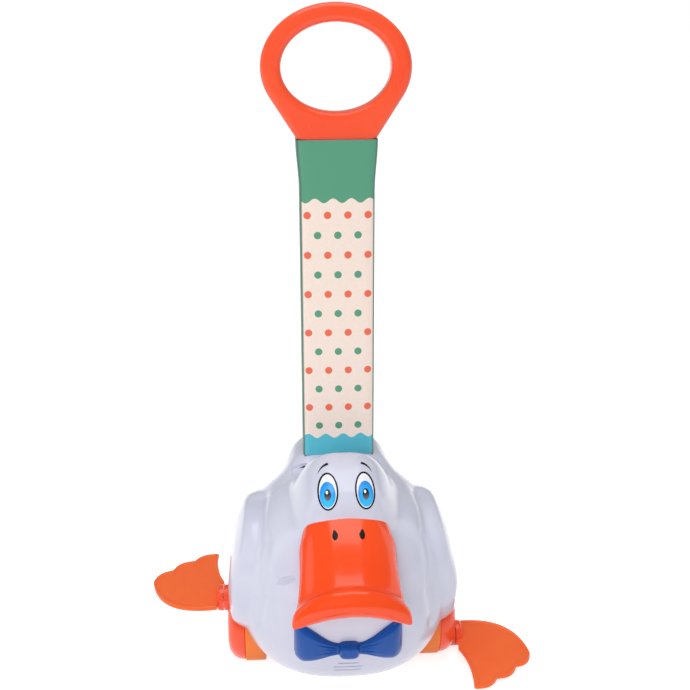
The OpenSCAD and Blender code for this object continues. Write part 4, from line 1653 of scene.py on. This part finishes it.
        bm = weld(mapped_grid(len(pairs), len(section), place))
        clear_behind(bm, Vector((0.0, 0.0, self.grip_z)), Vector((0.0, 0.0, 1.0)))
        return close(bm)

    def stem(self) -> bmesh.types.BMesh:
        """Gives the telescopic stem with its guide slot.

        Returns:
            The closed stem.
        """
        x, y = self.stem_w / 2, self.stem_d / 2
        bar = block(Vector((-x, -y, self.stem_bottom)), Vector((x, y, self.grip_z + self.stem_over)),
                    round_mm=self.stem_round)
        deep, wide = Vector((0.0, self.stem_d, 0.0)), Vector((self.slot_r, 0.0, 0.0))
        low, high = (Vector((0.0, 0.0, z)) for z in (self.slot_low, self.slot_high))
        cuts = [cylinder(end - deep, end + deep, self.slot_r, self.slot_sides) for end in (low, high)]
        return trimmed(bar, [*cuts, block(low - deep - wide, high + deep + wide)])

    def grip(self) -> None:
        """Makes the grip's front and rear half, parted down the middle."""
        for half in Half:
            bm = trimmed(self.ring(), [self.stem()], Joining.ADD)
            clear_behind(bm, half.way * (self.seam / 2), half.way)
            bmesh.ops.triangle_fill(bm, use_beauty=True, use_dissolve=False, edges=open_edges(bm))
            bmesh.ops.recalc_face_normals(bm, faces=bm.faces)
            bmesh.ops.transform(bm, matrix=self.where, verts=bm.verts)
            settle(bm, f"grip_{half.word}", GRIP_ORANGE, Body.HANDLE, [f"grip_{half.word}_half"])

    def build(self) -> None:
        """Makes the sleeve and the grip."""
        self.sleeve()
        self.grip()


@dataclass
class Wheels:
    """Domed hubs with soft tyres and the bosses that carry the feet."""

    inner_x: float = 56.5
    tyre_r: float = 30.0
    tyre_w: float = 15.0
    tyre_t: float = 4.5
    tyre_gap: float = 0.15
    # Corners of a tyre, as a place off its edge and a drop from its radius.
    tyre_inner: tuple[tuple[float, float], ...] = ((0.0, 0.9), (0.3, 0.25), (0.9, 0.0))
    tyre_outer: tuple[tuple[float, float], ...] = ((0.5, 0.0), (0.15, 0.15), (0.0, 0.5))
    core_gap: float = 0.1
    hub_r: float = 29.0
    hub_w: float = 12.5
    hub_round: float = 11.6
    hub_round_steps: int = 14
    hub_chamfer: float = 0.5
    # The cap in the hub's middle, as a height over the face and a radius.
    cap: tuple[tuple[float, float], ...] = (
        (0.0, 8.5), (-0.8, 8.0), (-0.8, 6.2), (0.3, 5.6), (0.6, 3.0), (0.7, 0.0))
    foot_drop: float = 19.5
    boss_r: float = 9.5
    boss_len: float = 2.5
    boss_round: float = 0.4
    boss_round_steps: int = 3
    steps: int = 120

    @property
    def shoulder_x(self) -> float:
        """Gives the place where the tyre ends and the hub's dome starts."""
        return self.inner_x + self.tyre_w

    @property
    def face_x(self) -> float:
        """Gives the hub's outer face."""
        return self.shoulder_x + self.hub_w

    def lathe(self, profile: Sequence[tuple[float, float]], closed: bool) -> bmesh.types.BMesh:
        """Spins a profile round the axle.

        Args:
            profile: Places along and off the axle.
            closed: Whether the last point joins the first.

        Returns:
            The turned form.
        """
        bm = bmesh.new()
        verts = [bm.verts.new((x, 0.0, r)) for x, r in profile]
        edges = [bm.edges.new(pair) for pair in zip(verts, verts[1:])]
        if closed:
            edges.append(bm.edges.new((verts[-1], verts[0])))
        bmesh.ops.spin(bm, geom=verts + edges, cent=(0, 0, 0), axis=(1, 0, 0), dvec=(0, 0, 0),
                       angle=2 * math.pi, steps=self.steps, use_merge=True, use_duplicate=False)
        return weld(bm)

    def placed(self, bm: bmesh.types.BMesh, side: Side) -> bmesh.types.BMesh:
        """Moves a left-hand form to the axle, turned over for the right-hand side.

        Args:
            bm: The form, with the axle through the origin.
            side: Where it goes.

        Returns:
            The same mesh.
        """
        if side is Side.RIGHT:
            bmesh.ops.scale(bm, vec=(-1, -1, -1), verts=bm.verts)
            bmesh.ops.reverse_faces(bm, faces=bm.faces)
        bmesh.ops.translate(bm, vec=AXLE, verts=bm.verts)
        return bm

    def dome(self) -> bmesh.types.BMesh:
        """Gives a hub without its boss.

        Returns:
            The closed form.
        """
        core = self.tyre_r - self.tyre_t - self.core_gap
        arc_x, arc_r = self.face_x - self.hub_round, self.hub_r - self.hub_round
        turns = [math.pi / 2 * step / self.hub_round_steps for step in range(self.hub_round_steps + 1)]
        arc = [(arc_x + self.hub_round * math.sin(t), arc_r + self.hub_round * math.cos(t)) for t in turns]
        profile = [(self.inner_x, 0.0), (self.inner_x, core), (self.shoulder_x, core),
                   (self.shoulder_x, self.hub_r - self.hub_chamfer),
                   (self.shoulder_x + self.hub_chamfer, self.hub_r),
                   *arc, *((self.face_x + off, r) for off, r in self.cap)]
        return self.lathe(profile, False)

    def hub(self, side: Side) -> None:
        """Makes a hub with its boss.

        Args:
            side: Which hub.
        """
        start, end = (Vector((x, 0.0, -self.foot_drop))
                      for x in (self.face_x - self.hub_round, self.face_x + self.boss_len))
        boss = cylinder(start, end, self.boss_r)
        rim = [e for e in boss.edges if all(v.co.x > self.face_x for v in e.verts)]
        round_edges(boss, rim, self.boss_round, self.boss_round_steps)
        bm = self.placed(trimmed(self.dome(), [boss], Joining.ADD), side)
        settle(bm, f"{side.word}_hub", GRIP_ORANGE, Body.WHEELS, [f"{side.word}_wheel_hub"])

    def tyre(self, side: Side) -> None:
        """Makes a tyre band with softened edges.

        Args:
            side: Which tyre.
        """
        low = self.tyre_r - self.tyre_t
        start, end = self.inner_x, self.shoulder_x - self.tyre_gap
        profile = [(start, low), *((start + off, self.tyre_r - drop) for off, drop in self.tyre_inner),
                   *((end - off, self.tyre_r - drop) for off, drop in self.tyre_outer), (end, low)]
        band = self.placed(self.lathe(profile, True), side)
        settle(band, f"{side.word}_tyre_band", TYRE_AMBER, Body.WHEELS, [f"{side.word}_tyre"])

    def build(self) -> None:
        """Makes both wheels."""
        for side in Side:
            self.hub(side)
            self.tyre(side)


@dataclass
class Feet:
    """Webbed soft feet with a raised rim and three toes."""

    wheels: Wheels
    length: float = 52.0
    width: float = 61.0
    toes: int = 3
    row_bulge: float = 4.5
    toe_bulge: float = 3.2
    belly: float = 16.0
    waist: float = 2.5
    splay_deg: float = 37.0
    root_out: float = 1.0
    gap: float = 0.4
    eye_w: float = 5.0
    outer_lip: float = 14.0
    inner_lip: float = 10.0
    web_t: float = 2.2
    web_fade: float = 1.2
    edge_t: float = 0.3
    bead_t: float = 3.6
    bead_w: float = 2.6
    bead_span: float = 0.8
    left_droop: float = 4.0
    right_droop: float = 0.0
    knuckle_round: float = 2.4
    knuckle_round_steps: int = 6
    columns: int = 72
    rows: int = 60

    @property
    def start_x(self) -> float:
        """Gives the place beside the hub's boss where a foot starts."""
        return self.wheels.face_x + self.wheels.boss_len + self.gap

    def toe(self, t: float) -> Vector:
        """Gives a point of the toes.

        Args:
            t: Share from the outer corner to the inner corner.

        Returns:
            The point of the flat foot.
        """
        turn = math.radians(self.splay_deg)
        ahead = Vector((math.sin(turn), -math.cos(turn)))
        across = Vector((math.cos(turn), math.sin(turn)))
        bulge = self.toe_bulge * abs(math.sin(self.toes * math.pi * t))
        out = self.length + self.row_bulge * (1 - (2 * t - 1) ** 2) + bulge
        root = Vector((self.wheels.face_x + self.root_out, 0.0))
        return root + across * self.width * (0.5 - t) + ahead * out

    def edge(self, p: Vector, q: Vector, bulge: float, t: float) -> Vector:
        """Gives a point of an edge from p to q that bulges to its left."""
        normal = Vector((p.y - q.y, q.x - p.x)).normalized()
        return p + (q - p) * t + normal * bulge * 4 * t * (1 - t)

    def flat(self, t: float, s: float) -> Vector:
        """Gives a point of the web between its four edges.

        Args:
            t: Share across it.
            s: Share from its root to the toes.

        Returns:
            The point of the flat foot.
        """
        outer = Vector((self.start_x + self.eye_w, self.outer_lip))
        inner = Vector((self.start_x, -self.wheels.boss_r - self.inner_lip))
        first, last = self.toe(0.0), self.toe(1.0)
        left = self.edge(outer, first, self.belly, s)
        right = self.edge(inner, last, self.waist, s)
        root = (outer * (1 - t) + inner * t) * (1 - s)
        corners = root + (first * (1 - t) + last * t) * s
        return root + self.toe(t) * s + left * (1 - t) + right * t - corners

    def half_t(self, t: float, s: float) -> float:
        """Gives half the thickness, with a bead along the edge.

        Args:
            t: Share across the web.
            s: Share from its root to the toes.

        Returns:
            Half the thickness.
        """
        across = self.width * self.bead_span
        inside = min(t * across, (1 - t) * across, (1 - s) * self.length)
        near = max(0.0, 1 - inside / self.bead_w)
        bead = math.sqrt(max(0.0, 1 - (2 * near - 1) ** 2)) if near > 0 else 0.0
        web = self.web_t * (1 - ramp(near * self.web_fade))
        return max(self.edge_t, web, self.bead_t * bead) / 2

    def web(self, side: Side) -> bmesh.types.BMesh:
        """Gives one webbed foot, lying flat at the axle.

        Args:
            side: Which foot.

        Returns:
            The closed form.
        """
        bm = mapped_grid(self.columns, self.rows, lambda t, s: Vector((*self.flat(t, s), self.half_t(t, s))))
        grown = bmesh.ops.extrude_face_region(bm, geom=bm.faces[:])["geom"]
        for vert in (g for g in grown if isinstance(g, bmesh.types.BMVert)):
            vert.co.z = -vert.co.z
        bmesh.ops.recalc_face_normals(bm, faces=bm.faces)
        droop = self.left_droop if side is Side.LEFT else self.right_droop
        for vert in bm.verts:
            out = (vert.co.xy - Vector((self.start_x, 0.0))).length / self.length
            vert.co.z -= side.value * droop * out * out
        return bm

    def knuckle(self) -> bmesh.types.BMesh:
        """Gives the round eye that holds a foot on its pin.

        Returns:
            The closed form.
        """
        start, end = Vector((self.start_x, 0.0, 0.0)), Vector((self.start_x + self.eye_w, 0.0, 0.0))
        bm = cylinder(start, end, self.wheels.boss_r)
        rim = [e for e in bm.edges if all(v.co.x > (start.x + end.x) / 2 for v in e.verts)]
        round_edges(bm, rim, self.knuckle_round, self.knuckle_round_steps)
        return bm

    def build(self) -> None:
        """Makes both feet with their knuckles."""
        drop = Vector((0.0, 0.0, -self.wheels.foot_drop))
        for side, body in ((Side.LEFT, Body.LEFT_FOOT), (Side.RIGHT, Body.RIGHT_FOOT)):
            forms = ((self.web(side), "webbed_foot", FOOT_ORANGE, [f"{side.word}_foot"]),
                     (self.knuckle(), "knuckle", GRIP_ORANGE, []))
            for bm, word, finish, nodes in forms:
                bmesh.ops.translate(bm, vec=drop, verts=bm.verts)
                settle(self.wheels.placed(bm, side), f"{side.word}_{word}", finish, body, nodes)


@dataclass
class Fittings:
    """Nodes that keep their own shape and get a finish."""

    groups: tuple[tuple[Finish, tuple[str, ...]], ...] = (
        (STEEL, ("shell_screws", "bill_screws", "bow_tie_screw", "tongue_screw", "socket_screws",
                 "grip_screws", "guide_pin", "axle", "left_foot_pin", "right_foot_pin")),
        (BEARING, ("left_axle_bush", "right_axle_bush", "click_tongue")),
        (TYRE_AMBER, ("click_wheel",)),
        (WHITE, ("heel_glide", "tube_end_ring")),
        (GRIP_ORANGE, ("handle_lower_tube",)),
    )

    def build(self) -> None:
        """Dresses each node."""
        for finish, names in self.groups:
            for name in names:
                mesh = frame["nodes"][name].data
                mesh.materials.clear()
                mesh.materials.append(finish.material())
                log.info("%s keeps its shape", name)


@dataclass(frozen=True)
class Lamp:
    """One soft lamp that looks at the toy, in metres; mirrored says whether glossy surfaces show it."""

    name: str
    place: tuple[float, float, float]
    size: tuple[float, float]
    watts: float
    mirrored: bool
    aim: tuple[float, float, float] = (0.0, 0.0, 0.12)

    def build(self) -> None:
        """Hangs the lamp."""
        data = bpy.data.lights.new(self.name, "AREA")
        data.shape = "RECTANGLE"
        data.size, data.size_y = self.size
        data.energy = self.watts
        made = bpy.data.objects.new(self.name, data)
        made.location = self.place
        made.rotation_mode = "QUATERNION"
        made.rotation_quaternion = (Vector(self.aim) - Vector(self.place)).to_track_quat("-Z", "Y")
        made.visible_glossy = self.mirrored
        bpy.context.scene.collection.objects.link(made)


@dataclass
class Studio:
    """Pale floor, soft lamps and the camera at the photograph's angle."""

    target: tuple[float, float, float] = (0.0, 46.4, 236.0)
    azimuth_deg: float = -3.8
    elevation_deg: float = 21.0
    distance: float = 821.0
    lens: float = 60.0
    sensor: float = 36.0
    shift_px: float = 7.0
    frame_px: float = 690.0
    floor_half: float = 30.0
    floor_light: int = 0xF6F6F7
    floor_deep: int = 0xF4F4F5
    floor_cloud_mm: float = 400.0
    floor_roughness: float = 0.9
    floor_shine: float = 0.1
    floor_glow: float = 0.68
    sky: float = 0.36
    lamps: tuple[Lamp, ...] = (
        Lamp("key_lamp", (-1.35, 0.0, 0.4), (0.5, 1.0), 1.5, True),
        Lamp("fill_lamp", (1.3, 0.4, 0.4), (0.5, 1.0), 1.5, True),
        Lamp("front_lamp", (-0.5, -1.5, 0.8), (1.2, 0.8), 12.0, False),
        Lamp("top_lamp", (0.0, 0.0, 1.6), (1.2, 1.2), 10.8, True),
    )

    def camera(self) -> None:
        """Places the camera."""
        azimuth, elevation = math.radians(self.azimuth_deg), math.radians(self.elevation_deg)
        level = math.cos(elevation)
        away = Vector((math.sin(azimuth) * level, -math.cos(azimuth) * level, math.sin(elevation)))
        data = bpy.data.cameras.new("camera")
        data.lens = self.lens
        data.sensor_width = self.sensor
        data.shift_x = self.shift_px / self.frame_px
        made = bpy.data.objects.new("camera", data)
        made.location = (Vector(self.target) + away * self.distance) * MM
        made.rotation_mode = "QUATERNION"
        made.rotation_quaternion = (-away).to_track_quat("-Z", "Y")
        bpy.context.scene.collection.objects.link(made)
        bpy.context.scene.camera = made

    def floor_paint(self) -> bpy.types.Material:
        """Gives the floor's paint, which shows as white and keeps the toy's shadow.

        Returns:
            The material.
        """
        graph = Graph("floor_paint")
        cloud = graph.noise(graph.place(), self.floor_cloud_mm)
        graph.shade({
            "Base Color": graph.drift(cloud, self.floor_deep, self.floor_light),
            "Roughness": self.floor_roughness,
            "Specular IOR Level": self.floor_shine,
        })
        path = graph.add("LightPath")
        seen = graph.math("MAXIMUM", path.outputs["Is Camera Ray"], path.outputs["Is Glossy Ray"])
        strength = graph.math("MULTIPLY", seen, self.floor_glow)
        glow = graph.add("Emission", {"Color": (1.0, 1.0, 1.0, 1.0), "Strength": strength})
        both = graph.add("AddShader", {0: graph.shader.outputs[0], 1: glow.outputs[0]})
        graph.feed(graph.tree.nodes["Material Output"], {"Surface": both.outputs[0]})
        return graph.material

    def floor(self) -> None:
        """Lays the floor."""
        bm = bmesh.new()
        bmesh.ops.create_grid(bm, x_segments=1, y_segments=1, size=self.floor_half)
        mesh = bpy.data.meshes.new("floor")
        bm.to_mesh(mesh)
        bm.free()
        mesh.materials.append(self.floor_paint())
        made = bpy.data.objects.new("floor", mesh)
        bpy.context.scene.collection.objects.link(made)

    def world(self) -> None:
        """Makes the white surround, which lights the toy softly."""
        world = bpy.data.worlds.new("surround")
        bpy.context.scene.world = world
        world.use_nodes = True
        tree = world.node_tree
        background = tree.nodes["Background"]
        path = tree.nodes.new("ShaderNodeLightPath")
        seen = tree.nodes.new("ShaderNodeMath")
        seen.operation = "MAXIMUM"
        tree.links.new(path.outputs["Is Camera Ray"], seen.inputs[0])
        tree.links.new(path.outputs["Is Transmission Ray"], seen.inputs[1])
        level = tree.nodes.new("ShaderNodeMapRange")
        level.inputs["To Min"].default_value = self.sky
        level.inputs["To Max"].default_value = 1.0
        tree.links.new(seen.outputs[0], level.inputs["Value"])
        background.inputs["Color"].default_value = (1.0, 1.0, 1.0, 1.0)
        tree.links.new(level.outputs[0], background.inputs["Strength"])

    def build(self) -> None:
        """Sets the stage."""
        bpy.context.scene.view_settings.view_transform = "Standard"
        self.camera()
        self.floor()
        self.world()
        for lamp in self.lamps:
            lamp.build()


def main() -> None:
    """Builds the toy piece by piece."""
    logging.basicConfig(level=logging.INFO, format="%(name)s: %(message)s")
    Studio().build()
    skin = DuckSkin()
    handle = Handle(skin)
    DuckShells(skin).build(handle.socket())
    Face(skin).build()
    Bill(skin).build()
    BowTie(skin).build()
    handle.build()
    wheels = Wheels()
    wheels.build()
    Feet(wheels).build()
    Fittings().build()


if __name__ == "__main__":
    main()
